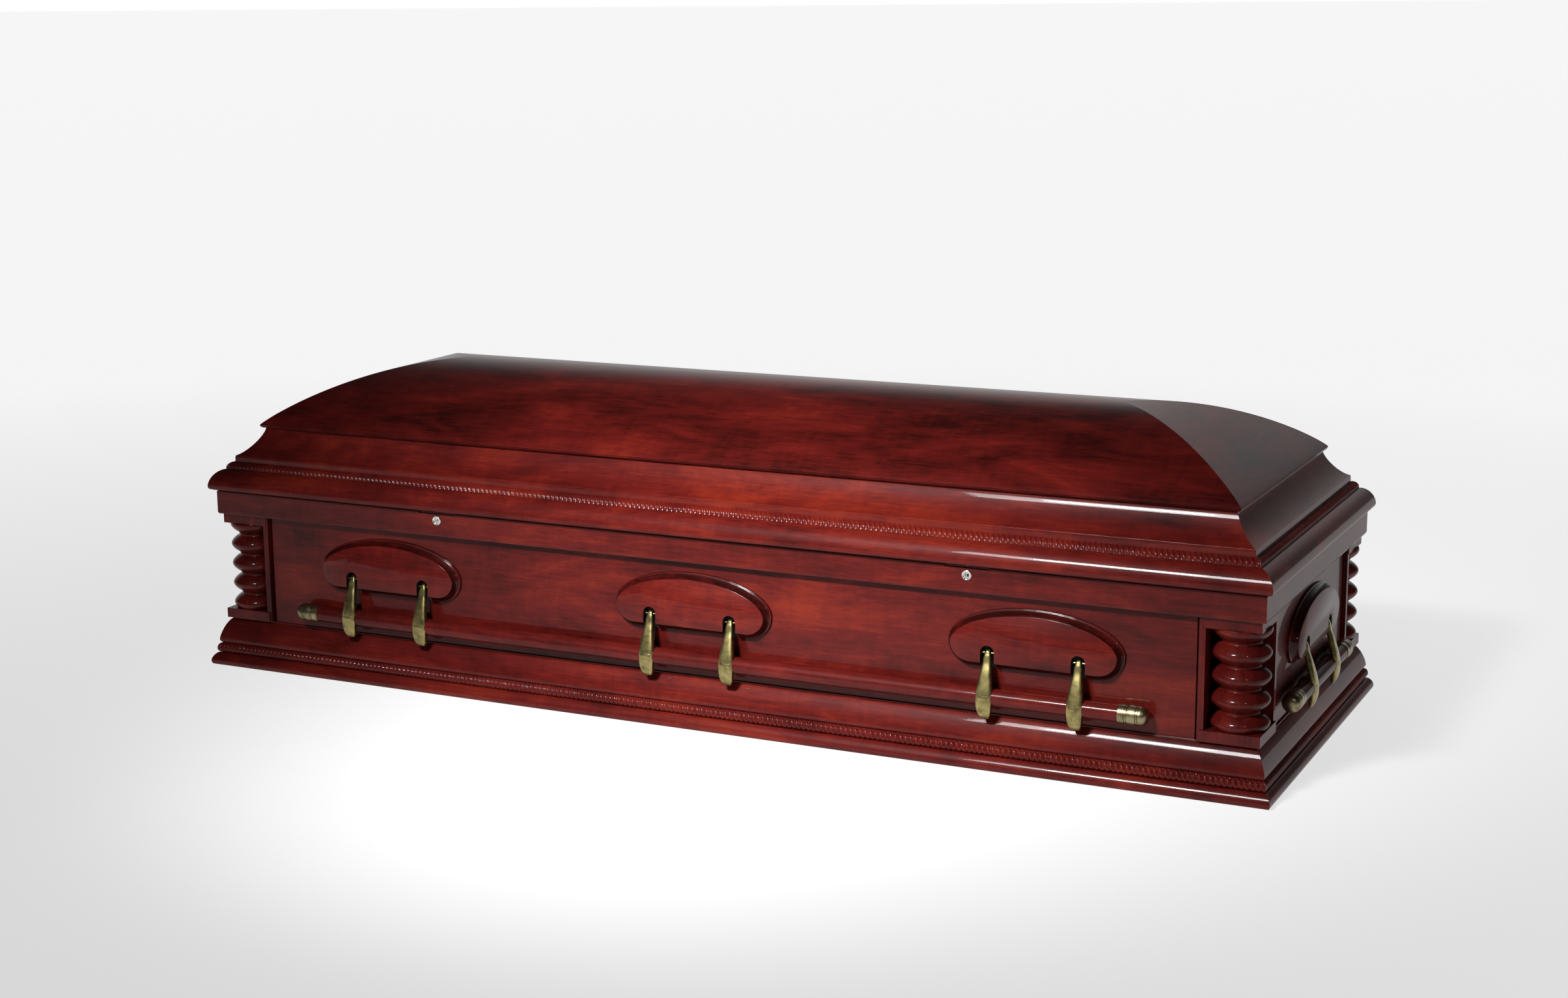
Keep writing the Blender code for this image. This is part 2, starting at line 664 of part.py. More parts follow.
def plate_mesh(cutters):
    """The wooden plate with its softened front edge and its two arched slots."""
    upright = Matrix.Rotation(0.5 * math.pi, 4, "X")
    mesh = bmesh.new()
    mesh.from_mesh(outline_mesh("plate", plate_outline(), GAP, PLATE_THICKNESS, upright))
    rim = [edge for edge in mesh.edges if all(vert.co.y < -0.5 * PLATE_THICKNESS for vert in edge.verts)]
    bmesh.ops.bevel(mesh, geom=rim, offset=PLATE_BEVEL, segments=2, profile=0.6, affect="EDGES")
    plate = place("plate", finish_mesh("plate", mesh), None, cutters)
    tools = []
    radius = 0.5 * SLOT_WIDTH
    foot = PLATE_BOTTOM - CUT_OVERRUN
    reach = PLATE_THICKNESS + CUT_OVERRUN
    for middle in (-SLOT_OFFSET, SLOT_OFFSET):
        arch = arc((middle, SLOT_TOP - radius), radius, 0, 180, 5)
        outline = [(middle - radius, foot), (middle + radius, foot)] + arch
        tools.append(place("slot", outline_mesh("slot", outline, -reach, reach, upright), None, cutters))
    join_solids(plate, "DIFFERENCE", tools)
    data = plate.data
    bpy.data.objects.remove(plate, do_unlink=True)
    return data


def arm_width(height):
    """Width of the arm: a narrow neck widens to a leaf round the bar and narrows again to the foot."""
    if height > ARM_LEAF_TOP:
        part = min((height - ARM_LEAF_TOP) / (ARM_NECK_END - ARM_LEAF_TOP), 1.0)
        return ARM_LEAF_WIDTH + (ARM_NECK_WIDTH - ARM_LEAF_WIDTH) * part
    part = max((ARM_LEAF_BOTTOM - height) / (ARM_LEAF_BOTTOM - ARM_FOOT_HEIGHT), 0.0)
    return ARM_LEAF_WIDTH + (ARM_FOOT_WIDTH - ARM_LEAF_WIDTH) * part


def arc(centre, radius, start, end, steps):
    """Points of a circular arc between two angles in degrees."""
    points = []
    for i in range(steps + 1):
        angle = math.radians(start + (end - start) * i / steps)
        points.append((centre[0] + radius * math.cos(angle), centre[1] + radius * math.sin(angle)))
    return points


def arm_outline():
    """Side view of the arm, outward distance and height: the hub, the neck, the bar's eye and the foot."""
    hub = arc((PIVOT_OUT, PIVOT_HEIGHT), HUB_RADIUS, -15, 195, 4)
    eye = arc((BAR_OUT, BAR_HEIGHT), EYE_RADIUS, 140, 262, 3)
    foot = [(ARM_FOOT_OUT - ARM_FOOT_DEPTH, ARM_FOOT_HEIGHT + ARM_FOOT_HEEL), (ARM_FOOT_OUT, ARM_FOOT_HEIGHT)]
    front = arc((BAR_OUT, BAR_HEIGHT), EYE_RADIUS, -25, 15, 2)
    neck = [(ARM_KNEE_OUT, ARM_KNEE), (ARM_BEND_OUT, ARM_BEND)]
    return hub + eye + foot + front + neck


def arm_mesh(cutters):
    """The cast arm about its pivot: side view drawn out, narrowed to a leaf and bored for the bar."""
    # Swaps the axes so that the outline stands in Y and Z and is drawn out along X
    sideways = Matrix(((0, 0, 1, 0), (1, 0, 0, 0), (0, 1, 0, 0), (0, 0, 0, 1)))
    outline = [(-out, height) for out, height in arm_outline()]
    mesh = bmesh.new()
    mesh.from_mesh(outline_mesh("arm", outline, -0.5, 0.5, sideways))
    # The sides fold at these heights, so each stretch between them stays flat
    for fold in (ARM_NECK_END, ARM_LEAF_TOP, ARM_LEAF_BOTTOM):
        everything = mesh.verts[:] + mesh.edges[:] + mesh.faces[:]
        bmesh.ops.bisect_plane(mesh, geom=everything, plane_co=(0, 0, fold), plane_no=(0, 0, 1))
    for vert in mesh.verts:
        vert.co.x *= arm_width(vert.co.z)
    bmesh.ops.translate(mesh, verts=mesh.verts, vec=(0.0, PIVOT_OUT, -PIVOT_HEIGHT))
    arm = place("arm", finish_mesh("arm", mesh), None, cutters)
    along = Matrix.Rotation(0.5 * math.pi, 4, "Y")
    at_bar = Matrix.Translation((0.0, PIVOT_OUT - BAR_OUT, BAR_HEIGHT - PIVOT_HEIGHT)) @ along
    radius = BAR_RADIUS + BAR_CLEARANCE
    bore = cylinder_mesh("bore", radius, -ARM_LEAF_WIDTH, ARM_LEAF_WIDTH, BAR_SEGMENTS, at_bar)
    join_solids(arm, "DIFFERENCE", [place("bore", bore, None, cutters)])
    half = 0.5 * SLOT_WIDTH - 2 * GAP
    pin = cylinder_mesh("pin", PIN_RADIUS, -half, half, PIN_SEGMENTS, along)
    join_solids(arm, "UNION", [place("pin", pin, None, cutters)])
    data = arm.data
    bpy.data.objects.remove(arm, do_unlink=True)
    return data


def bar_mesh(name, half_length):
    """The round wooden bar between its caps."""
    half = half_length - CAP_LENGTH - GAP
    along = Matrix.Rotation(0.5 * math.pi, 4, "Y")
    centre = Matrix.Translation((0.0, PIVOT_OUT - BAR_OUT, BAR_HEIGHT - PIVOT_HEIGHT))
    return cylinder_mesh(name, BAR_RADIUS, -half, half, BAR_SEGMENTS, centre @ along)


def cap_profile():
    """The cap from its domed end, down its sleeve, to the ring at the bar."""
    ring = BAR_RADIUS + CAP_RING
    sleeve = BAR_RADIUS + CAP_SLEEVE
    dome_foot = CAP_LENGTH - CAP_DOME
    dome = rounded((sleeve, dome_foot), (CAP_TIP_RADIUS, CAP_LENGTH), 2.0, 2)
    upper = [(ring, dome_foot - CAP_RING_STEP), (sleeve, dome_foot - 2 * CAP_RING_STEP)]
    lower = [(sleeve, CAP_RING_WIDTH + CAP_RING_STEP), (ring, CAP_RING_WIDTH), (ring, 0.0)]
    return dome[::-1] + upper + lower


def build_handle(group, materials, meshes, wall, spots, sides, half_length):
    """One swing-bar handle: its plates on the wall, and its arms, bar and caps hung on the pivot line."""
    wood, brass = materials
    plate, arm, cap = meshes
    arms = []
    for label, along in spots:
        place("handle_plate_" + label, plate, wood, group, wall_matrix(wall, along=along))
        arms += [along - SLOT_OFFSET, along + SLOT_OFFSET]
    pivot = bpy.data.objects.new(wall + "_handle_pivot", None)
    pivot.matrix_world = wall_matrix(wall, out=PIVOT_OUT, height=PIVOT_HEIGHT)
    group.objects.link(pivot)
    bar_height = BAR_HEIGHT - PIVOT_HEIGHT
    bar_out = PIVOT_OUT - BAR_OUT
    pieces = [(wall + "_bar", bar_mesh(wall + "_bar", half_length), wood, Matrix.Identity(4))]
    for i, along in enumerate(sorted(arms)):
        pieces.append(("%s_arm_%d" % (wall, i + 1), arm, brass, Matrix.Translation((along, 0.0, 0.0))))
    for label, side in zip(sides, (-1, 1)):
        start = Matrix.Translation((side * (half_length - CAP_LENGTH), bar_out, bar_height))
        facing = Matrix.Rotation(side * 0.5 * math.pi, 4, "Y")
        pieces.append((wall + "_bar_cap_" + label, cap, brass, start @ facing))
    for name, data, material, matrix in pieces:
        thing = place(name, data, material, group)
        thing.parent = pivot
        thing.matrix_local = matrix
        if data is cap:
            turn(thing, CAP_SEGMENTS)


def build_handles(group, cutters, wood, brass):
    """The handles of the four walls, from one plate, one arm and one cap."""
    plate = plate_mesh(cutters)
    arm = arm_mesh(cutters)
    cap = profile_mesh("bar_cap", cap_profile())
    meshes = (plate, arm, cap)
    materials = (wood, brass)
    front = [("front_left", -PLATE_SPACING), ("front_middle", 0.0), ("front_right", PLATE_SPACING)]
    back = [("back_right", -PLATE_SPACING), ("back_middle", 0.0), ("back_left", PLATE_SPACING)]
    build_handle(group, materials, meshes, "front", front, ("left", "right"), SIDE_BAR_HALF_LENGTH)
    build_handle(group, materials, meshes, "back", back, ("right", "left"), SIDE_BAR_HALF_LENGTH)
    right = [("right_end", 0.0)]
    left = [("left_end", 0.0)]
    build_handle(group, materials, meshes, "right_end", right, ("front", "back"), END_BAR_HALF_LENGTH)
    build_handle(group, materials, meshes, "left_end", left, ("back", "front"), END_BAR_HALF_LENGTH)


def main():
    """Builds the casket from the floor up."""
    clear_scene()
    group = new_collection("funeral_casket")
    cutters = new_collection("cutters", cutters=True)
    wood = cherry_lacquer()
    plain = inner_wood()
    brass = antique_brass()
    metal = nickel()
    build_base(group, wood, plain)
    post_edge_x = PANEL_HALF_LENGTH + BLOCK_OUT - STILE_SIDE
    post_edge_y = PANEL_HALF_WIDTH + BLOCK_OUT - STILE_SIDE
    build_panel(group, wood, "front", post_edge_x)
    build_panel(group, wood, "back", post_edge_x)
    build_panel(group, wood, "left_end", post_edge_y)
    build_panel(group, wood, "right_end", post_edge_y)
    column = profile_mesh("column", column_profile())
    for corner in CORNERS:
        build_corner_post(group, wood, corner)
        build_column(group, wood, column, corner)
    build_band(group, cutters, wood, metal)
    build_lid(group, wood)
    build_handles(group, cutters, wood, brass)


main()
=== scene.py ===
"""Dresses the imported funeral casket: mouldings, rope beads, columns, handles, finishes and the studio."""
import math

import bmesh
import bpy
import numpy as np
from bpy.props import FloatProperty, FloatVectorProperty, IntProperty, PointerProperty, StringProperty
from mathutils import Matrix, Vector


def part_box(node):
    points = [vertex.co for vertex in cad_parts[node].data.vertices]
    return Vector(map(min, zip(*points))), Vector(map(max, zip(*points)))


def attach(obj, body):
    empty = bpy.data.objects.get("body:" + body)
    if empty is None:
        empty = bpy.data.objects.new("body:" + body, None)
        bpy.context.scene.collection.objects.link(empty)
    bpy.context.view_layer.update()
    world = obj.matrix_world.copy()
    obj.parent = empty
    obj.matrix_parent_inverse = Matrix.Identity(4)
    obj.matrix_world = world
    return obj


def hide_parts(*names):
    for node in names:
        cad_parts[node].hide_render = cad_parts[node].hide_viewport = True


bl_info = {
    "name": "Funeral casket",
    "version": (1, 0, 0),
    "blender": (4, 5, 0),
    "location": "3D View > Sidebar > Casket",
    "description": "Dresses a wooden casket with its mouldings, carving, handles, finishes and studio",
    "category": "Object",
}

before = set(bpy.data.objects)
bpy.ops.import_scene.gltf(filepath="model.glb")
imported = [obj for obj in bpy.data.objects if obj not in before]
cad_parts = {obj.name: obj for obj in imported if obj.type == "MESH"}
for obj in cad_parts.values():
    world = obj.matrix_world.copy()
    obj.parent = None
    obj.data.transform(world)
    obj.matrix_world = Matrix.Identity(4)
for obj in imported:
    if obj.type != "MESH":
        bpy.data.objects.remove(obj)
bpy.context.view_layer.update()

# The panel faces, as half-length and half-width; every moulding is measured outward from them
HALF_X = 1.022
HALF_Y = 0.3445

# Gap between a piece and the face that it sits on, and what still counts as an edge along a mitre
GAP = 0.0003
MITRE_SLACK = 1e-5

# Distance between nodes in the shader editor
NODE_STEP = 220

# Crown: its lip as outward and height, its rise over the lip, the two powers of its bend, and its wall
CROWN_LIP_OUT = -0.0469
CROWN_LIP = 0.4708
CROWN_RISE = 0.1101
CROWN_BEND = 1.93
CROWN_SWELL = 1.109
CROWN_WALL = 0.018
CROWN_WALL_START = 0.115
CROWN_SPAN = HALF_Y + CROWN_LIP_OUT

# Share of the span to each side over which the crown's slope is measured
SLOPE_STEP = 0.01

# Rope beads: steps to a strand, power of its round, and the share of the section and length that fade it out
STRAND_STEPS = 7
STRAND_POWER = 0.7
STRAND_EDGE = 0.12
STRAND_FADE = 0.004

# Columns: height that the rings are counted down from, their pitch and number, and the ends of the turning
COLUMN_START = 0.2966
COLUMN_TOP = 0.2825
COLUMN_BOTTOM = 0.1112
RING_PITCH = 0.0393
RING_COUNT = 5
RING_RADIUS = 0.049
RING_MIDDLE = 0.018
RING_POWER = 1.8

# Handle plates: the widest place and its height, the rise over it, the drop under it and the corners' width
PLATE_HALF_WIDTH = 0.157
PLATE_MIDDLE = 0.215
PLATE_RISE = 0.066
PLATE_DROP = 0.042
PLATE_CORNER = 0.045
PLATE_SPACING = 0.646

# Least cosine, to straight out of the wall, of a face that isn't part of a plate's rim, which gets painted
# shade
FACE_LEAN = 0.97

# Slots: place beside a plate's middle, size, floor, and reach of the cut; the pocket's floor and walls carry
# painted shade
SLOT_OFFSET = 0.08
SLOT_RADIUS = 0.0125
SLOT_BOTTOM = 0.160
SLOT_TOP = 0.214
POCKET_FLOOR = 0.001
SLOT_CUT = 0.03

# Handles: pivot and bar axis as outward and height, half-lengths of the bars over their caps, caps and arms
PIVOT = (0.010, 0.200)
BAR_AXIS = (0.020, 0.1255)
SIDE_BAR_HALF = 0.85
END_BAR_HALF = 0.204
CAP_LENGTH = 0.05
CAP_WALL = 0.0010
KNUCKLE_RADIUS = 0.0062
KNUCKLE_HALF = 0.0040
PIN_RADIUS = 0.0018
PIN_HALF = 0.0118
SADDLE_WALL = 0.0022

# Key sockets stand on the band, this far out from the panel faces
BAND_OUT = 0.016

# Studio: soft boxes as name, size and share of the power, where they aim, and the floor, with the place where
# its painted glow is least
KEY_BOXES = (("key_core", (0.5, 0.22), 0.5), ("key_halo", (1.0, 0.62), 0.5))
KEY_AIM = (0.15, -0.35, 0.22)
SIDE_SIZE = (0.2, 0.2)
SIDE_AIM = (0.9, -0.35, 0.3)
FLOOR_HALF = 300.0
FLOOR_DROP = 0.0005
GLOW_LEAST_AT = (0.0, -1.2, 0.0)

# The turn of each wall about the upright axis, and how far out it stands
WALLS = {
    "front": (0.0, HALF_Y),
    "right_end": (0.5 * math.pi, HALF_X),
    "back": (math.pi, HALF_Y),
    "left_end": (1.5 * math.pi, HALF_X),
}
CORNERS = ("front_left", "front_right", "back_left", "back_right")


# Sizes and colours a user would change
class CasketSizes(bpy.types.PropertyGroup):
    """Sizes of the carving and the hardware, in metres."""

    rope_pitch: FloatProperty(name="Rope pitch", description="Distance between strands of the rope beads",
                              default=0.0094, unit="LENGTH")
    rope_depth: FloatProperty(name="Rope depth", description="Depth of the grooves between the strands",
                              default=0.0036, unit="LENGTH")
    edge_ease: FloatProperty(name="Eased edge", description="Length sanded off each sharp edge of a moulding",
                             default=0.0012, unit="LENGTH")
    column_sides: IntProperty(name="Column sides", description="Number of steps round a turned column",
                              default=96)
    bar_radius: FloatProperty(name="Bar radius", description="Radius of the wooden handle bars",
                              default=0.0155, unit="LENGTH")


class CasketColours(bpy.types.PropertyGroup):
    """Colours of the finishes, as sRGB hex values."""

    wood_deep: StringProperty(name="Deep wood", description="Darkest figure of the stained wood",
                              default="#200504")
    wood_mid: StringProperty(name="Middle wood", description="Main colour of the stained wood",
                             default="#4b100d")
    wood_light: StringProperty(name="Light wood", description="Lightest figure of the wood",
                               default="#641c10")
    brass: StringProperty(name="Brass", description="Aged brass on the arms and caps", default="#998c5c")
    cap_metal: StringProperty(name="Cap metal", description="Aged metal of the bar caps", default="#94886a")
    brass_dark: StringProperty(name="Dark brass", description="Tarnish left in the hollows",
                               default="#4c452c")
    nickel: StringProperty(name="Nickel", description="Plated key sockets", default="#a88f80")
    floor: StringProperty(name="Floor", description="Studio floor", default="#989898")


class StudioSettings(bpy.types.PropertyGroup):
    """The camera and the lights."""

    lens: FloatProperty(name="Lens", description="Focal length on a 36 mm wide sensor, in mm", default=55.512)
    yaw: FloatProperty(name="Turn", description="How far the view turns to the left",
                       default=math.radians(25.75), subtype="ANGLE")
    pitch: FloatProperty(name="Tilt", description="How far the view looks down", default=math.radians(11.89),
                         subtype="ANGLE")
    roll: FloatProperty(name="Roll", description="Roll of the camera", default=math.radians(0.45),
                        subtype="ANGLE")
    place: FloatVectorProperty(name="Camera place", description="Where the camera stands", size=3,
                               default=(1.963, -4.038, 1.293), subtype="XYZ")
    key_place: FloatVectorProperty(name="Key light place", description="Where the main soft box hangs",
                                   size=3, default=(-0.2, -2.8, 2.46), subtype="XYZ")
    key_power: FloatProperty(name="Key light", description="Power of the main soft box", default=16.5,
                             unit="POWER")
    key_spread: FloatProperty(name="Key spread", description="How wide the main soft box throws its light",
                              default=math.radians(40.0), subtype="ANGLE")
    side_place: FloatVectorProperty(name="Side light place", description="Where the small soft box hangs",
                                    size=3, default=(2.52, -2.41, 2.2), subtype="XYZ")
    side_power: FloatProperty(name="Side light", description="Power of the small soft box", default=6.0,
                              unit="POWER")


# Mesh builders
def linear(code):
    """An sRGB hex colour as linear red, green and blue."""
    parts = np.array([int(code[i:i + 2], 16) / 255.0 for i in (1, 3, 5)])
    values = np.where(parts <= 0.04045, parts / 12.92, ((parts + 0.055) / 1.055) ** 2.4)
    return tuple(float(v) for v in values)


def grid_faces(rows, columns, close_rows, close_columns):
    """Indices of the four corners of every cell of a grid, which may close on itself either way."""
    r = np.arange(rows if close_rows else rows - 1)
    c = np.arange(columns if close_columns else columns - 1)
    r, c = np.meshgrid(r, c, indexing="ij")
    r2 = (r + 1) % rows
    c2 = (c + 1) % columns
    cells = np.stack([r * columns + c, r2 * columns + c, r2 * columns + c2, r * columns + c2], axis=-1)
    return cells.reshape(-1, 4)


def joined_mesh(name, shells, weld):
    """One welded mesh of several shells, each (points, quads, loops of flat ends), with its faces outward."""
    points = []
    faces = []
    start = 0
    for shell_points, quads, ends in shells:
        points.append(shell_points.reshape(-1, 3))
        faces += (quads + start).tolist()
        faces += [(np.asarray(end) + start).tolist() for end in ends]
        start += len(points[-1])
    data = bpy.data.meshes.new(name)
    data.from_pydata(np.concatenate(points).tolist(), [], faces)
    mesh = bmesh.new()
    mesh.from_mesh(data)
    bmesh.ops.remove_doubles(mesh, verts=mesh.verts, dist=weld)
    bmesh.ops.recalc_face_normals(mesh, faces=mesh.faces)
    mesh.to_mesh(data)
    mesh.free()
    return data


def mesh_piece(name, shells, body, nodes, materials, sharp=35.0, weld=1e-6):
    """Makes one object of several shells, smooth but for its sharp edges, and ties it to its body."""
    data = joined_mesh(name, shells, weld)
    data.shade_smooth()
    data.set_sharp_from_angle(angle=math.radians(sharp))
    piece = bpy.data.objects.new(name, data)
    bpy.context.scene.collection.objects.link(piece)
    for material in materials:
        data.materials.append(material)
    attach(piece, body)
    if nodes:
        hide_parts(*nodes)
    return piece


def crisp_mitres(piece):
    """Marks the edges along the four mitres as sharp; such an edge runs as far along X as along Y."""
    data = piece.data
    points = np.array([vertex.co for vertex in data.vertices])
    ends = np.array([edge.vertices for edge in data.edges])
    step = np.abs(points[ends[:, 1]] - points[ends[:, 0]])
    for edge, along in zip(data.edges, np.abs(step[:, 0] - step[:, 1]) < MITRE_SLACK):
        edge.use_edge_sharp = edge.use_edge_sharp or bool(along)


def quarter(start, end, power, steps):
    """Superellipse quarter, |x|^power + |z|^power = 1, upright at its start and level at its end."""
    angle = np.linspace(0.0, 0.5 * np.pi, steps)
    across = np.clip(np.cos(angle), 0.0, 1.0) ** (2.0 / power)
    up = np.sin(angle) ** (2.0 / power)
    return np.stack([end[0] + (start[0] - end[0]) * across, start[1] + (end[1] - start[1]) * up], axis=1)


def hollow_quarter(start, end, power, steps):
    """The same quarter turned half round: level at the start and upright at the end."""
    return (np.array(start) + np.array(end)) - quarter(start, end, power, steps)[::-1]


def eased(profile, length, steps=4):
    """Rounds each corner of a closed profile with a short parabola between points a little way off it."""
    before = np.roll(profile, 1, axis=0)
    after = np.roll(profile, -1, axis=0)
    to_before = before - profile
    to_after = after - profile
    near = np.linalg.norm(to_before, axis=1)
    far = np.linalg.norm(to_after, axis=1)
    cosine = np.sum(to_before * to_after, axis=1) / np.maximum(near * far, 1e-12)
    sharp = cosine > -math.cos(math.radians(18.0))
    cut = np.minimum(length, 0.45 * np.minimum(near, far)) * sharp
    first = profile + to_before * (cut / np.maximum(near, 1e-12))[:, None]
    last = profile + to_after * (cut / np.maximum(far, 1e-12))[:, None]
    t = np.linspace(0.0, 1.0, steps)[None, :, None]
    curve = (1 - t) ** 2 * first[:, None] + 2 * t * (1 - t) * profile[:, None] + t ** 2 * last[:, None]
    keep = np.ones((len(profile), steps), bool)
    keep[~sharp, 1:] = False
    return curve[keep]


def moulding_shell(profile):
    """A closed profile of (outward, height) carried round the four mitred sides of the casket."""
    side_x = np.array([-1.0, 1.0, 1.0, -1.0])[:, None]
    side_y = np.array([-1.0, -1.0, 1.0, 1.0])[:, None]
    out = profile[None, :, 0]
    height = np.broadcast_to(profile[None, :, 1], (4, len(profile)))
    points = np.stack([side_x * (HALF_X + out), side_y * (HALF_Y + out), height], axis=-1)
    return points, grid_faces(4, len(profile), True, True), []


def turned_shell(profile, sides, centre):
    """A profile of (radius, height), from axis to axis, turned about an upright line."""
    angle = np.linspace(0.0, 2 * np.pi, sides, endpoint=False)
    radius = profile[:, 0][:, None]
    x = centre[0] + radius * np.cos(angle)[None, :]
    y = centre[1] + radius * np.sin(angle)[None, :]
    z = np.broadcast_to(profile[:, 1][:, None], x.shape)
    return np.stack([x, y, z], axis=-1), grid_faces(len(profile), sides, False, True), []


def on_wall(points, wall, along=0.0):
    """Puts points given as (along the wall, outward negative, height) on one of the four walls."""
    angle, distance = WALLS[wall]
    x = points[..., 0] + along
    y = points[..., 1] - distance
    turned = [x * math.cos(angle) - y * math.sin(angle), x * math.sin(angle) + y * math.cos(angle),
              points[..., 2]]
    return np.stack(turned, axis=-1)


# Finishes
def add_node(tree, kind, settings=None, links=None):
    """Adds a node to the right of the others, sets its properties and sockets, and links its inputs."""
    node = tree.nodes.new(kind)
    node.location = (NODE_STEP * len(tree.nodes), 0)
    for key, value in (settings or {}).items():
        if isinstance(key, str) and hasattr(node, key):
            setattr(node, key, value)
        else:
            node.inputs[key].default_value = value
    for key, source in (links or {}).items():
        tree.links.new(source, node.inputs[key])
    return node


def noise(tree, where, scale, detail, settings=None):
    """Noise in coordinates stretched by a scale along each axis, in waves per metre."""
    spread = add_node(tree, "ShaderNodeMapping", {"Scale": scale}, {0: where}).outputs[0]
    values = {"Scale": 1.0, "Detail": detail, **(settings or {})}
    return add_node(tree, "ShaderNodeTexNoise", values, {"Vector": spread}).outputs[0]


def fresh_material(name):
    """An empty material with its shader and output."""
    material = bpy.data.materials.new(name)
    material.use_nodes = True
    tree = material.node_tree
    return material, tree, tree.nodes["Principled BSDF"]


def ramp_colours(node, stops):
    """Sets the stops of a colour ramp from (place, hex colour) pairs."""
    ramp = node.color_ramp
    while len(ramp.elements) < len(stops):
        ramp.elements.new(0.5)
    for element, (place, code) in zip(ramp.elements, stops):
        element.position = place
        element.color = (*linear(code), 1.0)


def grain_vector(tree, grain):
    """Coordinates with the grain along X: as they are, turned, or turned on the ends of a mitred frame."""
    where = add_node(tree, "ShaderNodeTexCoord").outputs["Object"]
    split = add_node(tree, "ShaderNodeSeparateXYZ", links={0: where})
    x, y, z = split.outputs
    if grain == "upright":
        return add_node(tree, "ShaderNodeCombineXYZ", links={0: z, 1: x, 2: y}).outputs[0]
    along = where
    across = add_node(tree, "ShaderNodeCombineXYZ", links={0: y, 1: x, 2: z}).outputs[0]
    if grain == "across":
        return across
    if grain == "along":
        return along
    far_x = add_node(tree, "ShaderNodeMath", {"operation": "ABSOLUTE"}, {0: x})
    far_y = add_node(tree, "ShaderNodeMath", {"operation": "ABSOLUTE"}, {0: y})
    lead = add_node(tree, "ShaderNodeMath", {"operation": "SUBTRACT"},
                    {0: far_x.outputs[0], 1: far_y.outputs[0]})
    end = add_node(tree, "ShaderNodeMath", {"operation": "GREATER_THAN", 1: HALF_X - HALF_Y},
                   {0: lead.outputs[0]})
    mix = add_node(tree, "ShaderNodeMix", {"data_type": "VECTOR"}, {0: end.outputs[0], 4: along, 5: across})
    return mix.outputs[1]


def cherry_lacquer(name, grain, seed, lift=0.0):
    """Red-stained cherry under polished lacquer: stain clouds, faint cross figure, pores and a deep gloss."""
    colours = bpy.context.scene.casket_colours
    material, tree, shader = fresh_material(name)
    base = grain_vector(tree, grain)
    shift = add_node(tree, "ShaderNodeMapping", {"Location": (seed * 1.7, seed * 0.9, seed * 2.3)},
                     {0: base}).outputs[0]
    # Stain clouds about 250 mm long and 80 mm high
    broad = noise(tree, shift, (4.0, 12.0, 12.0), 6.0, {"Roughness": 0.66, "Distortion": 0.5})
    # Curly figure: faint bars about 25 mm wide that run against the grain
    cross = noise(tree, shift, (36.0, 9.0, 9.0), 2.0, {"Roughness": 0.5, "Distortion": 1.4})
    # Grain lines about 60 mm long and 4 mm apart, drawn coarser than real pores
    pore = noise(tree, shift, (16.0, 260.0, 260.0), 4.0, {"Roughness": 0.7, "Distortion": 0.6})
    first = add_node(tree, "ShaderNodeMix", {"data_type": "FLOAT", 0: 0.13}, {2: broad, 3: cross})
    second = add_node(tree, "ShaderNodeMix", {"data_type": "FLOAT", 0: 0.28}, {2: first.outputs[0], 3: pore})
    tone = add_node(tree, "ShaderNodeValToRGB", {}, {0: second.outputs[0]})
    ramp_colours(tone, [(0.34 - lift, colours.wood_deep), (0.52 - lift, colours.wood_mid),
                        (0.66 - lift, colours.wood_light)])
    tree.links.new(tone.outputs[0], shader.inputs["Base Color"])
    # Orange peel of sprayed lacquer, about 3 mm across and a few microns deep
    peel = add_node(tree, "ShaderNodeTexNoise", {"Scale": 330.0, "Detail": 1.0}, {"Vector": base})
    bump = add_node(tree, "ShaderNodeBump", {"Strength": 0.22, "Distance": 0.00005},
                    {"Height": peel.outputs[0]})
    tree.links.new(bump.outputs[0], shader.inputs["Coat Normal"])
    shader.inputs["Roughness"].default_value = 0.42
    shader.inputs["Specular IOR Level"].default_value = 0.05
    shader.inputs["IOR"].default_value = 1.5
    shader.inputs["Coat Weight"].default_value = 0.27
    shader.inputs["Coat Roughness"].default_value = 0.035
    shader.inputs["Coat IOR"].default_value = 1.5
    return material


def aged_brass(name, bright):
    """Cast brass with an oiled brown tarnish in clouds and fine polishing lines."""
    colours = bpy.context.scene.casket_colours
    material, tree, shader = fresh_material(name)
    where = add_node(tree, "ShaderNodeTexCoord").outputs["Object"]
    # Tarnish clouds about 15 mm across
    cloud = add_node(tree, "ShaderNodeTexNoise", {"Scale": 65.0, "Detail": 4.0, "Roughness": 0.6},
                     {"Vector": where})
    # Polishing lines about 0.6 mm apart, which run down the arm
    line = noise(tree, where, (1500.0, 1500.0, 30.0), 2.0)
    tone = add_node(tree, "ShaderNodeValToRGB", {}, {0: cloud.outputs[0]})
    ramp_colours(tone, [(0.25, colours.brass_dark), (0.60, bright)])
    rough = add_node(tree, "ShaderNodeMapRange", {"To Min": 0.24, "To Max": 0.42}, {"Value": line})
    bump = add_node(tree, "ShaderNodeBump", {"Strength": 0.2, "Distance": 0.00005}, {"Height": line})
    tree.links.new(tone.outputs[0], shader.inputs["Base Color"])
    tree.links.new(rough.outputs[0], shader.inputs["Roughness"])
    tree.links.new(bump.outputs[0], shader.inputs["Normal"])
    shader.inputs["Metallic"].default_value = 1.0
    return material


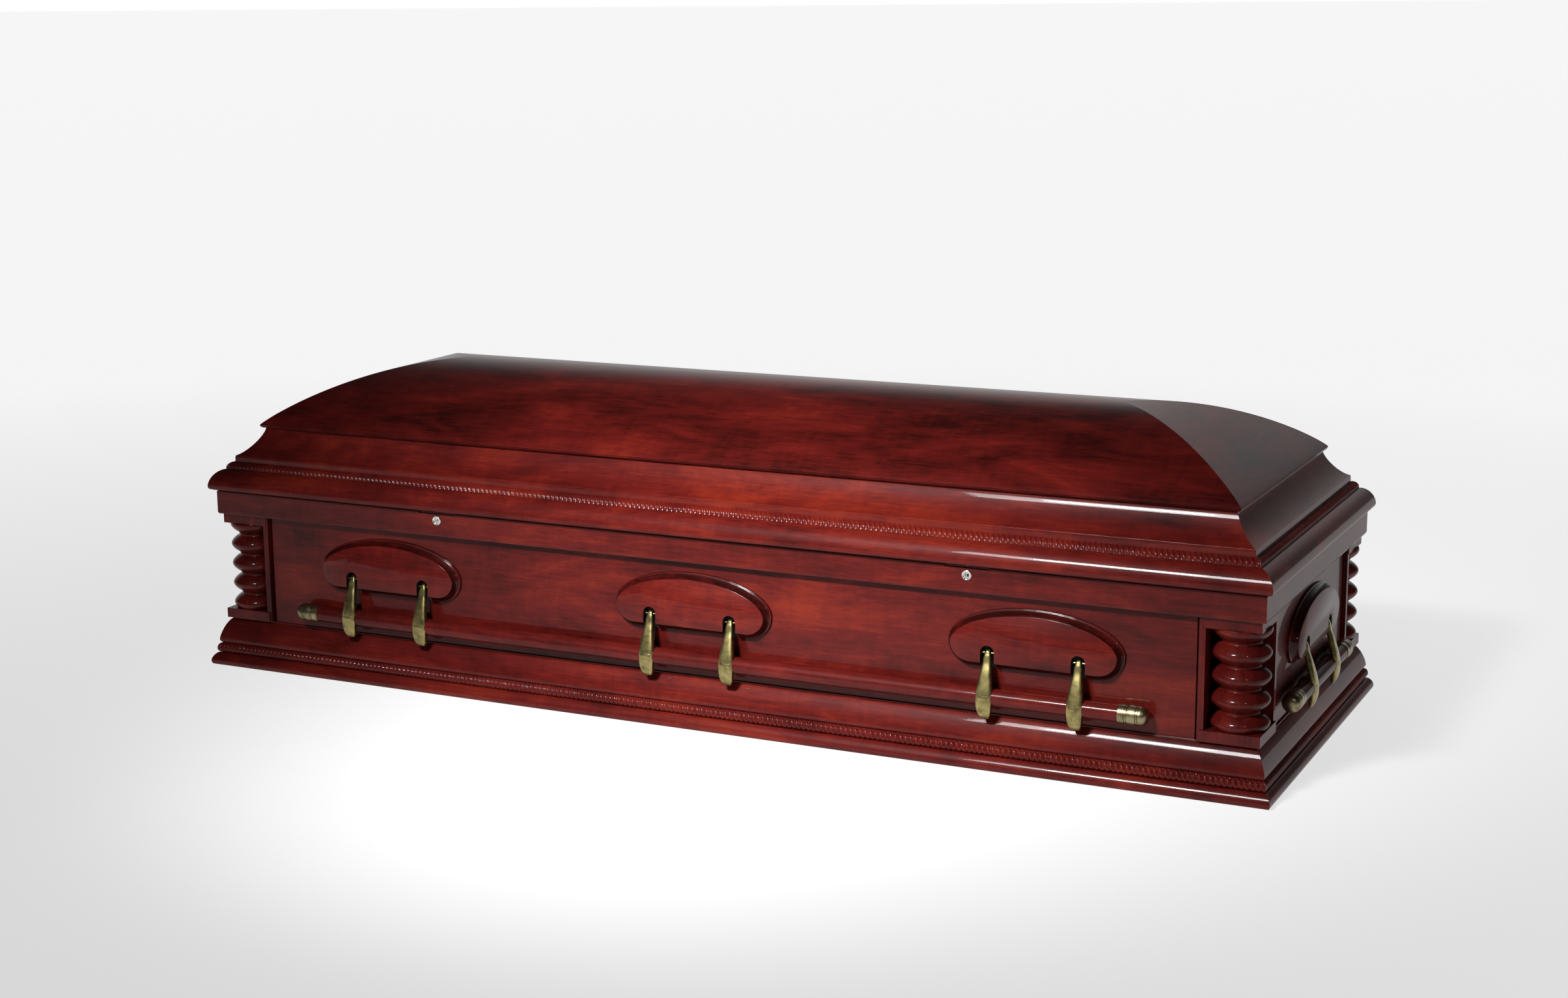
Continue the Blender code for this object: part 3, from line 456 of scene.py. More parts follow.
def bright_nickel(name):
    """Nickel plate on the key sockets, gone warm with age, with a few wiped patches."""
    material, tree, shader = fresh_material(name)
    where = add_node(tree, "ShaderNodeTexCoord").outputs["Object"]
    # Wiped patches about 4 mm across
    wipe = add_node(tree, "ShaderNodeTexNoise", {"Scale": 240.0, "Detail": 2.0}, {"Vector": where})
    rough = add_node(tree, "ShaderNodeMapRange", {"To Min": 0.14, "To Max": 0.3}, {"Value": wipe.outputs[0]})
    tree.links.new(rough.outputs[0], shader.inputs["Roughness"])
    shader.inputs["Base Color"].default_value = (*linear(bpy.context.scene.casket_colours.nickel), 1.0)
    shader.inputs["Metallic"].default_value = 1.0
    return material


def painted_slot_shade(name):
    """Painted shade in the slots of the plates: almost black in uneven patches, and dull."""
    material, tree, shader = fresh_material(name)
    where = add_node(tree, "ShaderNodeTexCoord").outputs["Object"]
    # Uneven patches of the painted shade, about 3 mm across
    patch = add_node(tree, "ShaderNodeTexNoise", {"Scale": 300.0, "Detail": 3.0}, {"Vector": where})
    tone = add_node(tree, "ShaderNodeValToRGB", {}, {0: patch.outputs[0]})
    ramp_colours(tone, [(0.3, "#050404"), (0.7, "#0d0a09")])
    tree.links.new(tone.outputs[0], shader.inputs["Base Color"])
    shader.inputs["Roughness"].default_value = 0.6
    return material


def sealed_board(name):
    """Plain sealed softwood of the floor board: pale, straight-grained and matt."""
    material, tree, shader = fresh_material(name)
    where = add_node(tree, "ShaderNodeTexCoord").outputs["Object"]
    # Growth rings drawn out along the board, about 9 mm apart
    ring = noise(tree, where, (3.0, 110.0, 110.0), 5.0, {"Distortion": 0.5})
    tone = add_node(tree, "ShaderNodeValToRGB", {}, {0: ring})
    ramp_colours(tone, [(0.35, "#9a744c"), (0.65, "#c8a679")])
    tree.links.new(tone.outputs[0], shader.inputs["Base Color"])
    shader.inputs["Roughness"].default_value = 0.62
    return material


def finish(name, make, *values):
    """The named finish, made once."""
    found = bpy.data.materials.get(name)
    return found if found else make(name, *values)


def mitred_wood():
    """The lacquered wood of the mitred mouldings."""
    return finish("cherry_lacquer_mitred", cherry_lacquer, "mitred", 3.0, 0.02)


def dress(material, *nodes):
    """Gives CAD nodes a finish."""
    for name in nodes:
        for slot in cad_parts[name].material_slots:
            slot.material = material


# Mouldings
def base_profile():
    """Foot, lip, bead seat, ovolo and back of the base moulding."""
    foot = quarter((0.0364, 0.008), (0.033, 0.0), 2.0, 8)[::-1]
    lip = quarter((0.0364, 0.008), (0.0252, 0.0228), 1.5, 16)
    seat = np.array([[0.014, 0.0228], [0.014, 0.0421], [0.0195, 0.0421], [0.0224, 0.045]])
    ovolo = quarter((0.0234, 0.048), (0.0032, 0.0895), 1.4, 26)
    top = np.array([[0.0032, 0.092], [GAP, 0.092], [GAP, 0.0]])
    return np.concatenate([foot, lip[1:], seat, ovolo, top])


def rim_profile():
    """Soffit, rounded rim, bead step, fillet, cove and hollow back of the lid's rim."""
    soffit = np.array([[0.0137, 0.3468], [0.0185, 0.348], [0.0265, 0.3514]])
    rim = quarter((0.0281, 0.3557), (0.0015, 0.3887), 1.8, 30)
    step = np.array([[-0.0115, 0.3887], [-0.0115, 0.4096]])
    cove = hollow_quarter((-0.0125, 0.414), (-0.0555, 0.4647), 1.35, 30)
    inside = np.array([[-0.0745, 0.4647], [-0.0745, 0.4487], [-0.058, 0.427], [-0.034, 0.404],
                       [-0.019, 0.385], [-0.019, 0.3468]])
    return np.concatenate([soffit, rim, step, cove, inside])


def crown_rise(reach):
    """Height over the lip at a distance in from it: rise (1 - (1 - t)^bend)^(1/swell), t = reach / span."""
    part = np.clip(reach / CROWN_SPAN, 0.0, 1.0)
    return CROWN_RISE * (1.0 - (1.0 - part) ** CROWN_BEND) ** (1.0 / CROWN_SWELL)


def crown_shell():
    """The crown's section carried round the mitres; both ends of the section close on the ridge."""
    # The points crowd toward the lip, where the crown bends most
    reach = CROWN_SPAN * np.linspace(0.0, 1.0, 110) ** 1.7
    outer = np.stack([CROWN_LIP_OUT - reach, CROWN_LIP + crown_rise(reach)], axis=1)
    part = np.linspace(CROWN_WALL_START, 1.0, 12)
    climb = crown_rise(CROWN_SPAN * (part + SLOPE_STEP)) - crown_rise(CROWN_SPAN * (part - SLOPE_STEP))
    slope = np.arctan2(climb, 2 * SLOPE_STEP * CROWN_SPAN)
    inner = np.stack([np.maximum(CROWN_LIP_OUT - CROWN_SPAN * part - CROWN_WALL * np.sin(slope), -HALF_Y),
                      CROWN_LIP + crown_rise(CROWN_SPAN * part) - CROWN_WALL * np.cos(slope)], axis=1)
    seat = np.array([[-0.0745, 0.465], [-0.0515, 0.465], [-0.0485, 0.4668]])
    profile = np.concatenate([inner[::-1], seat, outer])
    points, _, _ = moulding_shell(profile)
    return points, grid_faces(4, len(profile), True, False), []


class CASKET_OT_mouldings(bpy.types.Operator):
    """Base moulding, lid rim and lid crown as finely drawn mitred profiles"""

    bl_idname = "casket.mouldings"
    bl_label = "Mouldings"

    def execute(self, context):
        ease = context.scene.casket_sizes.edge_ease
        wood = mitred_wood()
        for name, profile in (("base_moulding", base_profile()), ("lid_rim", rim_profile())):
            shells = [moulding_shell(eased(profile, ease))]
            piece = mesh_piece(name + "_smooth", shells, "casket", [name], [wood])
            crisp_mitres(piece)
        # The crown takes a darker copy of the mitred wood, with its own figure: painted shade on the lid's
        # top
        crisp_mitres(mesh_piece("lid_crown_smooth", [crown_shell()], "casket", ["lid_crown"],
                                [finish("cherry_lacquer_crown_shade", cherry_lacquer, "mitred", 8.0, -0.04)]))
        return {"FINISHED"}


# Rope beads
def rope_shell(section, seat, pitch, depth, lean):
    """A bead with slanted strands: each point of the section moves in by depth (1 - |sin(pi t)|^power).

    t counts strands along the side plus a lean round the bead, and the strands fade out at the mitres.
    """
    # Outward normals of the open section
    step = np.gradient(section, axis=0)
    normal = np.stack([step[:, 1], -step[:, 0]], axis=1)
    normal /= np.linalg.norm(normal, axis=1)[:, None]
    turn = np.linspace(0.0, 1.0, len(section))
    edge = np.clip(np.minimum(turn, 1.0 - turn) / STRAND_EDGE, 0.0, 1.0)
    shells = []
    for side in range(4):
        half = (HALF_X, HALF_Y)[side % 2]
        count = int(2 * half / pitch) * STRAND_STEPS
        share = np.linspace(-1.0, 1.0, count)[:, None]
        out = section[None, :, 0]
        along = share * (half + out)
        strand = np.abs(np.sin(np.pi * (along / pitch + lean * turn[None, :])))
        fade = np.clip((half + out) * (1.0 - np.abs(share)) / STRAND_FADE, 0.0, 1.0)
        fall = depth * (1.0 - strand ** STRAND_POWER) * fade * edge[None, :]
        moved_out = out - fall * normal[None, :, 0]
        height = section[None, :, 1] - fall * normal[None, :, 1]
        # The two seat points close the section behind the bead
        back_along = share * (half + seat[None, :, 0])
        along = np.concatenate([along, back_along], axis=1)
        moved_out = np.concatenate([moved_out, np.broadcast_to(seat[None, :, 0], back_along.shape)], axis=1)
        height = np.concatenate([height, np.broadcast_to(seat[None, :, 1], back_along.shape)], axis=1)
        across = -((HALF_Y, HALF_X)[side % 2] + moved_out)
        angle = 0.5 * math.pi * side
        x = along * math.cos(angle) - across * math.sin(angle)
        y = along * math.sin(angle) + across * math.cos(angle)
        shells.append((np.stack([x, y, height], axis=-1), grid_faces(count, along.shape[1], False, True), []))
    return shells


class CASKET_OT_ropes(bpy.types.Operator):
    """Carved rope beads round the base and the lid"""

    bl_idname = "casket.ropes"
    bl_label = "Rope beads"

    def execute(self, context):
        sizes = context.scene.casket_sizes
        wood = mitred_wood()
        low = quarter((0.0273, 0.031), (0.0205, 0.0231), 2.0, 7)[::-1]
        high = quarter((0.0273, 0.031), (0.0195, 0.0418), 2.0, 8)
        seat = np.array([[0.0143, 0.0418], [0.0143, 0.0231]])
        section = np.concatenate([low, high[1:]])
        strands = rope_shell(section, seat, sizes.rope_pitch, sizes.rope_depth, 1.0)
        mesh_piece("base_rope_carved", strands, "casket", ["base_rope"], [wood], sharp=60.0, weld=2e-6)
        section = np.concatenate([[[0.0015, 0.389]], quarter((0.0015, 0.391), (-0.0112, 0.4024), 1.9, 10)])
        seat = np.array([[-0.0112, 0.389]])
        strands = rope_shell(section, seat, sizes.rope_pitch, 0.8 * sizes.rope_depth, 0.8)
        mesh_piece("lid_rope_carved", strands, "casket", ["lid_rope"], [wood], sharp=60.0, weld=2e-6)
        return {"FINISHED"}


# Columns
def column_profile():
    """From the top down: every ring is a cove, a small step, a full round and a step back to the cove."""
    ring = np.array([[0.032, 0.0], [0.0325, 0.0015], [0.0338, 0.0026], [0.0365, 0.0030]])
    # The ring swells to its full radius and falls back, as full - fall reach^power above and below its middle
    drop = np.linspace(0.0032, 0.0310, 30)
    above = drop < RING_MIDDLE
    reach = np.where(above, (RING_MIDDLE - drop) / 0.015, (drop - RING_MIDDLE) / 0.013)
    fall = np.where(above, 0.0122, 0.0095)
    swell = np.stack([RING_RADIUS - fall * reach ** RING_POWER, drop], axis=1)
    lower = np.array([[0.0374, 0.0314], [0.0368, 0.0322], [0.0350, 0.0340], [0.0334, 0.0362]])
    one = np.concatenate([ring, swell, lower])
    drops = (np.arange(RING_COUNT) * RING_PITCH)[:, None]
    radius = np.tile(one[:, 0], RING_COUNT)
    height = COLUMN_START - (one[None, :, 1] + drops).ravel()
    inside = (height < COLUMN_TOP) & (height > COLUMN_BOTTOM)
    order = np.argsort(-height)
    ends = np.interp([-COLUMN_TOP, -COLUMN_BOTTOM], -height[order], radius[order])
    radius = np.concatenate([[0.0, ends[0]], radius[inside], [ends[1], 0.0]])
    height = np.concatenate([[COLUMN_TOP, COLUMN_TOP], height[inside], [COLUMN_BOTTOM, COLUMN_BOTTOM]])
    return np.stack([radius, height], axis=1)


class CASKET_OT_columns(bpy.types.Operator):
    """Turned, ringed columns in the corner niches"""

    bl_idname = "casket.columns"
    bl_label = "Columns"

    def execute(self, context):
        sides = context.scene.casket_sizes.column_sides
        wood = finish("cherry_lacquer_turned", cherry_lacquer, "upright", 5.0, 0.0)
        for corner in CORNERS:
            low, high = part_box("column_" + corner)
            centre = (0.5 * (low[0] + high[0]), 0.5 * (low[1] + high[1]))
            mesh_piece("column_%s_turned" % corner, [turned_shell(column_profile(), sides, centre)], "casket",
                       ["column_" + corner], [wood], sharp=50.0)
        return {"FINISHED"}


# Handle plates
def plate_outline(count):
    """Half oval over a flat bottom whose corners are quarter ovals."""
    angle = np.linspace(0.0, np.pi, count)
    top = np.stack([PLATE_HALF_WIDTH * np.cos(angle), PLATE_MIDDLE + PLATE_RISE * np.sin(angle)], axis=1)
    turn = np.linspace(0.0, 0.5 * np.pi, count // 4)[1:]
    low_x = PLATE_HALF_WIDTH - PLATE_CORNER * (1.0 - np.cos(turn))
    low = np.stack([low_x, PLATE_MIDDLE - PLATE_DROP * np.sin(turn)], axis=1)
    left = low * np.array([-1.0, 1.0])
    return np.concatenate([top, left, low[::-1]])


def plate_shell():
    """Loops of the outline, drawn in step by step: upright side, eased edge, deep cove and face."""
    outline = plate_outline(120)
    step = np.roll(outline, -1, axis=0) - np.roll(outline, 1, axis=0)
    inward = np.stack([-step[:, 1], step[:, 0]], axis=1)
    inward /= np.linalg.norm(inward, axis=1)[:, None]
    # An eased outer edge, a cove that steepens to the face, and a crisp eased edge at the face
    outer = np.array([[0.0, GAP], [0.0, 0.0030], [0.0002, 0.0038], [0.0009, 0.0043], [0.0018, 0.0045]])
    cove = hollow_quarter((0.0018, 0.0045), (0.0096, 0.0168), 1.35, 16)
    face = np.array([[0.0098, 0.0175], [0.0104, 0.0180]])
    rim = np.concatenate([outer, cove[1:], face])
    inset, out = rim[:, 0][:, None], rim[:, 1][:, None]
    x = outline[None, :, 0] + inset * inward[None, :, 0]
    z = outline[None, :, 1] + inset * inward[None, :, 1]
    y = -np.broadcast_to(out, x.shape)
    count = len(outline)
    last = (len(rim) - 1) * count
    ends = [np.arange(count), last + np.arange(count)]
    return np.stack([x, y, z], axis=-1), grid_faces(len(rim), count, False, True), ends


def slot_outline(radius, bottom, top):
    """A round arch over straight sides."""
    angle = np.linspace(0.0, np.pi, 25)
    arch = np.stack([radius * np.cos(angle), top - radius + radius * np.sin(angle)], axis=1)
    return np.concatenate([[[radius, bottom]], arch, [[-radius, bottom]]])


def slab_shell(outline, near, far):
    """A flat outline in X and Z, drawn out from one depth to another."""
    x = np.broadcast_to(outline[None, :, 0], (2, len(outline)))
    z = np.broadcast_to(outline[None, :, 1], (2, len(outline)))
    y = np.broadcast_to(np.array([[-near], [-far]]), x.shape)
    count = len(outline)
    ends = [np.arange(count), count + np.arange(count)]
    return np.stack([x, y, z], axis=-1), grid_faces(2, count, False, True), ends


def moved_shell(shell, wall, along=0.0):
    """A shell put on a wall."""
    points, quads, ends = shell
    return on_wall(points, wall, along), quads, ends


def shade_plate_rim(piece, wall):
    """Gives every face of a plate that doesn't look straight out of its wall the plate's second material, a
    darker copy of its wood: painted shade on the rim and sides.
    """
    angle, _ = WALLS[wall]
    out = Vector((math.sin(angle), -math.cos(angle), 0.0))
    for face in piece.data.polygons:
        face.material_index = int(abs(face.normal.dot(out)) < FACE_LEAN)


def cut_slots(piece, wall, along):
    """Cuts two arched pockets into a plate, their walls and floors almost black as painted shade, and keeps
    the result as its mesh.
    """
    cutter = []
    for side in (-SLOT_OFFSET, SLOT_OFFSET):
        outline = slot_outline(SLOT_RADIUS, SLOT_BOTTOM, SLOT_TOP) + np.array([side, 0.0])
        cutter.append(moved_shell(slab_shell(outline, POCKET_FLOOR, SLOT_CUT), wall, along))
    data = joined_mesh("slots", cutter, 1e-6)
    # The cutter's almost black material passes to the cut walls and floors: painted shade in the slots
    data.materials.append(finish("painted_slot_shade", painted_slot_shade))
    tool = bpy.data.objects.new("slots", data)
    bpy.context.scene.collection.objects.link(tool)
    cut = piece.modifiers.new("slots", "BOOLEAN")
    cut.operation = "DIFFERENCE"
    cut.solver = "EXACT"
    cut.material_mode = "TRANSFER"
    cut.object = tool
    seen = piece.evaluated_get(bpy.context.evaluated_depsgraph_get())
    result = bpy.data.meshes.new_from_object(seen)
    piece.modifiers.clear()
    piece.data = result
    bpy.data.objects.remove(tool, do_unlink=True)


def plate_places():
    """Node name, wall and place along the wall of every handle plate."""
    return [
        ("handle_plate_front_left", "front", -PLATE_SPACING),
        ("handle_plate_front_middle", "front", 0.0),
        ("handle_plate_front_right", "front", PLATE_SPACING),
        ("handle_plate_back_right", "back", -PLATE_SPACING),
        ("handle_plate_back_middle", "back", 0.0),
        ("handle_plate_back_left", "back", PLATE_SPACING),
        ("handle_plate_right_end", "right_end", 0.0),
        ("handle_plate_left_end", "left_end", 0.0),
    ]


class CASKET_OT_plates(bpy.types.Operator):
    """Half-oval wooden handle plates with coved rims and slots, the rims darkened and the slots blackened as
    painted shade
    """

    bl_idname = "casket.plates"
    bl_label = "Handle plates"

    def execute(self, context):
        for name, wall, along in plate_places():
            side = "along" if wall in ("front", "back") else "across"
            wood = finish("cherry_lacquer_plate_" + side, cherry_lacquer, side, 6.5, 0.02)
            # A darker copy of the plate's wood for the rims and sides: painted shade
            dark = finish("cherry_lacquer_rim_shade_" + side, cherry_lacquer, side, 7.5, -0.13)
            piece = mesh_piece(name + "_coved", [moved_shell(plate_shell(), wall, along)], "casket", [name],
                               [wood, dark], sharp=40.0)
            shade_plate_rim(piece, wall)
            cut_slots(piece, wall, along)
        return {"FINISHED"}


# Handle arms, bars and caps
def leaf_shell():
    """The arm's leaf: a crowned section carried down a bent path, about the slot's middle.

    Front, depth and width are smooth curves through a few stations down the arm, and the section is a
    superellipse that is fuller in front than behind.
    """
    # Height, front, depth and width
    stations = np.array([
        [0.2050, 0.0140, 0.0040, 0.0050],
        [0.2035, 0.0158, 0.0065, 0.0080],
        [0.2000, 0.0172, 0.0085, 0.0108],
        [0.1950, 0.0190, 0.0095, 0.0128],
        [0.1850, 0.0212, 0.0098, 0.0150],
        [0.1720, 0.0258, 0.0102, 0.0186],
        [0.1550, 0.0312, 0.0112, 0.0236],
        [0.1400, 0.0352, 0.0122, 0.0276],
        [0.1280, 0.0372, 0.0130, 0.0292],
        [0.1150, 0.0378, 0.0130, 0.0286],
        [0.1050, 0.0364, 0.0118, 0.0264],
        [0.0975, 0.0338, 0.0100, 0.0232],
        [0.0935, 0.0316, 0.0080, 0.0200],
        [0.0918, 0.0296, 0.0045, 0.0165],
    ])
    fine = np.linspace(0.0, 1.0, 60)
    place = np.interp(fine, np.linspace(0.0, 1.0, len(stations)), np.arange(len(stations)))
    low = np.clip(place.astype(int), 1, len(stations) - 3)
    t = place - low

    def smooth(values):
        """Cubic through four neighbouring stations."""
        a, b, c, d = values[low - 1], values[low], values[low + 1], values[low + 2]
        return b + 0.5 * t * (c - a + t * (2 * a - 5 * b + 4 * c - d + t * (3 * (b - c) + d - a)))

    z, front, depth, width = (smooth(column) for column in stations.T)
    angle = np.linspace(0.0, 2 * np.pi, 40, endpoint=False)
    across = np.sign(np.cos(angle)) * np.abs(np.cos(angle)) ** 0.55
    through = np.sin(angle)
    through = np.where(through > 0, np.abs(through) ** 0.62, -np.abs(through) ** 0.45)
    x = 0.5 * width[:, None] * across[None, :]
    out = (front - 0.5 * depth)[:, None] + 0.5 * depth[:, None] * through[None, :]
    points = np.stack([x, -out, np.broadcast_to(z[:, None], x.shape)], axis=-1)
    count = len(angle)
    ends = [np.arange(count), (len(z) - 1) * count + np.arange(count)]
    return points, grid_faces(len(z), count, False, True), ends


def drum_shell(profile, sides, centre):
    """A profile of (radius, place along X) turned about a level line at (outward, height)."""
    angle = np.linspace(0.0, 2 * np.pi, sides, endpoint=False)
    radius = profile[:, 0][:, None]
    out = centre[0] + radius * np.sin(angle)[None, :]
    z = centre[1] + radius * np.cos(angle)[None, :]
    x = np.broadcast_to(profile[:, 1][:, None], out.shape)
    return np.stack([x, -out, z], axis=-1), grid_faces(len(profile), sides, False, True), []


def arm_shells(bar_radius):
    """Leaf, knuckle on the pivot, cross pin and the saddle that holds the bar."""
    knuckle = eased(bar_profile(KNUCKLE_RADIUS, KNUCKLE_HALF), 0.0012)
    pin = bar_profile(PIN_RADIUS, PIN_HALF)
    ring = bar_radius + SADDLE_WALL
    saddle = np.array([[bar_radius - 0.001, 0.0098], [ring - 0.0006, 0.0098], [ring, 0.0088], [ring, -0.0088],
                       [ring - 0.0006, -0.0098], [bar_radius - 0.001, -0.0098]])
    points, quads, _ = drum_shell(saddle, 40, BAR_AXIS)
    closed = grid_faces(len(saddle), 40, True, True)
    return [leaf_shell(), drum_shell(knuckle, 32, PIVOT), drum_shell(pin, 16, PIVOT), (points, closed, [])]


def bar_profile(radius, half):
    """A plain round bar, as (radius, place along it)."""
    return np.array([[0.0, half], [radius, half], [radius, -half], [0.0, -half]])


def cap_profile(radius):
    """From the mouth: a sleeve with two scored lines, a slightly full barrel, two more lines and a dome."""
    mouth = np.array([[0.0, 0.0], [radius + 0.0006, 0.0], [radius + CAP_WALL, 0.0004]])
    lines = []
    for place in (0.0115, 0.0150, 0.0310, 0.0345):
        lines.append(np.array([[0.0010, -0.0006], [-0.0006, -0.0003], [-0.0006, 0.0003], [0.0010, 0.0006]])
                     + np.array([radius, place]))
    part = np.linspace(0.05, 0.95, 12)
    barrel = np.stack([radius + CAP_WALL + 0.0006 * np.sin(np.pi * part), 0.0156 + 0.0148 * part], axis=1)
    turn = np.linspace(0.0, 0.5 * np.pi, 14)
    dome = np.stack([(radius + CAP_WALL) * np.cos(turn) ** 0.75, 0.0365 + 0.0135 * np.sin(turn)], axis=1)
    return np.concatenate([mouth, lines[0], lines[1], barrel, lines[2], lines[3], dome])


# Plates that a handle hangs from, half-length of its bar over the caps, and the names of its two ends
HANDLES = {
    "front": ((-PLATE_SPACING, 0.0, PLATE_SPACING), SIDE_BAR_HALF, ("left", "right")),
    "back": ((-PLATE_SPACING, 0.0, PLATE_SPACING), SIDE_BAR_HALF, ("right", "left")),
    "right_end": ((0.0,), END_BAR_HALF, ("front", "back")),
    "left_end": ((0.0,), END_BAR_HALF, ("back", "front")),
}


class CASKET_OT_arms(bpy.types.Operator):
    """Cast brass arms with their leaves, knuckles and saddles"""

    bl_idname = "casket.arms"
    bl_label = "Handle arms"

    def execute(self, context):
        brass = finish("aged_brass", aged_brass, context.scene.casket_colours.brass)
        radius = context.scene.casket_sizes.bar_radius
        for wall, (plates, _, _) in HANDLES.items():
            places = sorted(plate + side for plate in plates for side in (-SLOT_OFFSET, SLOT_OFFSET))
            for i, along in enumerate(places):
                shells = [moved_shell(shell, wall, along) for shell in arm_shells(radius)]
                node = "%s_arm_%d" % (wall, i + 1)
                mesh_piece(node + "_cast", shells, wall + "_handle", [node], [brass], sharp=45.0)
        return {"FINISHED"}


class CASKET_OT_bars(bpy.types.Operator):
    """Wooden bars and their metal caps"""

    bl_idname = "casket.bars"
    bl_label = "Bars and caps"

    def execute(self, context):
        brass = finish("aged_brass_cap", aged_brass, context.scene.casket_colours.cap_metal)
        radius = context.scene.casket_sizes.bar_radius
        for wall, (_, half, sides) in HANDLES.items():
            grain = "along" if wall in ("front", "back") else "across"
            wood = finish("cherry_lacquer_bar_" + grain, cherry_lacquer, grain, 11.0, -0.02)
            bar = moved_shell(drum_shell(bar_profile(radius, half - CAP_LENGTH - GAP), 64, BAR_AXIS), wall)
            mesh_piece(wall + "_bar_round", [bar], wall + "_handle", [wall + "_bar"], [wood])
            for label, side in zip(sides, (-1.0, 1.0)):
                profile = cap_profile(radius)
                profile = np.stack([profile[:, 0], side * (half - CAP_LENGTH + profile[:, 1])], axis=1)
                cap = moved_shell(drum_shell(profile, 64, BAR_AXIS), wall)
                node = "%s_bar_cap_%s" % (wall, label)
                mesh_piece(node + "_turned", [cap], wall + "_handle", [node], [brass], sharp=40.0)
        return {"FINISHED"}


def socket_profile():
    """From the bottom of the key hole: the sunk disc, a groove, the raised rounded ring and the shank."""
    turn = np.linspace(0.0, np.pi, 13)
    ring = np.stack([0.0079 - 0.0011 * np.cos(turn), 0.0006 + 0.0018 * np.sin(turn)], axis=1)
    face = np.array([[0.0, -0.0090], [0.0040, -0.0090], [0.0040, 0.0002], [0.0043, 0.0006], [0.0060, 0.0006],
                     [0.0063, 0.0003], [0.0063, -0.0006], [0.0068, -0.0006]])
    shank = np.array([[0.0078, 0.0], [0.0078, -0.0157], [0.0, -0.0157]])
    return np.concatenate([face, ring, shank])


class CASKET_OT_sockets(bpy.types.Operator):
    """Round key sockets in the front of the band"""

    bl_idname = "casket.sockets"
    bl_label = "Key sockets"

    def execute(self, context):
        profile = socket_profile()
        angle = np.linspace(0.0, 2 * np.pi, 48, endpoint=False)
        radius = profile[:, 0][:, None]
        for side in ("left", "right"):
            low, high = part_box("lock_socket_" + side)
            x = 0.5 * (low[0] + high[0]) + radius * np.cos(angle)[None, :]
            z = 0.5 * (low[2] + high[2]) + radius * np.sin(angle)[None, :]
            y = np.broadcast_to(-(HALF_Y + BAND_OUT) - profile[:, 1][:, None], x.shape)
            shell = (np.stack([x, y, z], axis=-1), grid_faces(len(profile), len(angle), False, True), [])
            mesh_piece("lock_socket_%s_turned" % side, [shell], "casket", ["lock_socket_" + side],
                       [finish("nickel_plate", bright_nickel)], sharp=40.0)
        return {"FINISHED"}


class CASKET_OT_finishes(bpy.types.Operator):
    """Finishes of the panels, posts, band and floor board"""

    bl_idname = "casket.finishes"
    bl_label = "Finishes"

    def execute(self, context):
        dress(finish("cherry_lacquer_panel", cherry_lacquer, "along", 1.0, 0.0), "front_panel", "back_panel")
        dress(finish("cherry_lacquer_end_panel", cherry_lacquer, "across", 2.0, 0.0), "left_end_panel",
              "right_end_panel")
        dress(finish("cherry_lacquer_post", cherry_lacquer, "upright", 4.0, 0.0),
              *["corner_post_" + corner for corner in CORNERS])
        dress(finish("cherry_lacquer_band", cherry_lacquer, "mitred", 9.0, 0.0), "top_band")
        dress(finish("sealed_board", sealed_board), "floor_board")
        return {"FINISHED"}


# Studio
def soft_box(name, place, size, power, target):
    """A soft box turned to the casket."""
    light = bpy.data.lights.new(name, "AREA")
    light.shape = "RECTANGLE"
    light.size, light.size_y = size
    light.energy = power
    lamp = bpy.data.objects.new(name, light)
    bpy.context.scene.collection.objects.link(lamp)
    lamp.location = place
    lamp.rotation_euler = (Vector(place) - Vector(target)).to_track_quat("Z", "Y").to_euler()
    return lamp


def studio_sky():
    """Dim room with a white backdrop low down behind and left of the casket, which the lid's top mirrors."""
    world = bpy.context.scene.world or bpy.data.worlds.new("studio")
    bpy.context.scene.world = world
    world.use_nodes = True
    tree = world.node_tree
    tree.nodes.clear()
    way = add_node(tree, "ShaderNodeTexCoord").outputs["Generated"]
    split = add_node(tree, "ShaderNodeSeparateXYZ", links={0: way})
    # The backdrop fades in behind the casket, out toward the top, and out to the right
    white = None
    for axis, start, end in ((1, 0.1, 0.5), (2, 0.55, 0.15), (0, 0.35, 0.0)):
        settings = {"interpolation_type": "SMOOTHSTEP", "From Min": start, "From Max": end}
        fade = add_node(tree, "ShaderNodeMapRange", settings, {"Value": split.outputs[axis]}).outputs[0]
        if white is not None:
            fade = add_node(tree, "ShaderNodeMath", {"operation": "MULTIPLY"}, {0: white, 1: fade}).outputs[0]
        white = fade
    glow = add_node(tree, "ShaderNodeMapRange", {"To Min": 0.02, "To Max": 1.0}, {"Value": white})
    back = add_node(tree, "ShaderNodeBackground", {"Color": (1.0, 1.0, 1.0, 1.0)},
                    {"Strength": glow.outputs[0]})
    out = add_node(tree, "ShaderNodeOutputWorld")
    tree.links.new(back.outputs[0], out.inputs[0])


def glowing_floor():
    """Pale matt floor with a painted glow that stands in for studio light: least near a place in front of the
    casket, stronger further away.
    """
    material, tree, shader = fresh_material("studio_floor")
    where = add_node(tree, "ShaderNodeTexCoord").outputs["Object"]
    away = add_node(tree, "ShaderNodeVectorMath", {"operation": "DISTANCE", 1: GLOW_LEAST_AT}, {0: where})
    glow = add_node(tree, "ShaderNodeMapRange",
                    {"From Min": 0.8, "From Max": 5.0, "To Min": 0.66, "To Max": 0.88},
                    {"Value": away.outputs["Value"]})
    tree.links.new(glow.outputs[0], shader.inputs["Emission Strength"])
    shader.inputs["Emission Color"].default_value = (1.0, 1.0, 1.0, 1.0)
    shader.inputs["Base Color"].default_value = (*linear(bpy.context.scene.casket_colours.floor), 1.0)
    shader.inputs["Roughness"].default_value = 0.8
    shader.inputs["Specular IOR Level"].default_value = 0.1
    return material


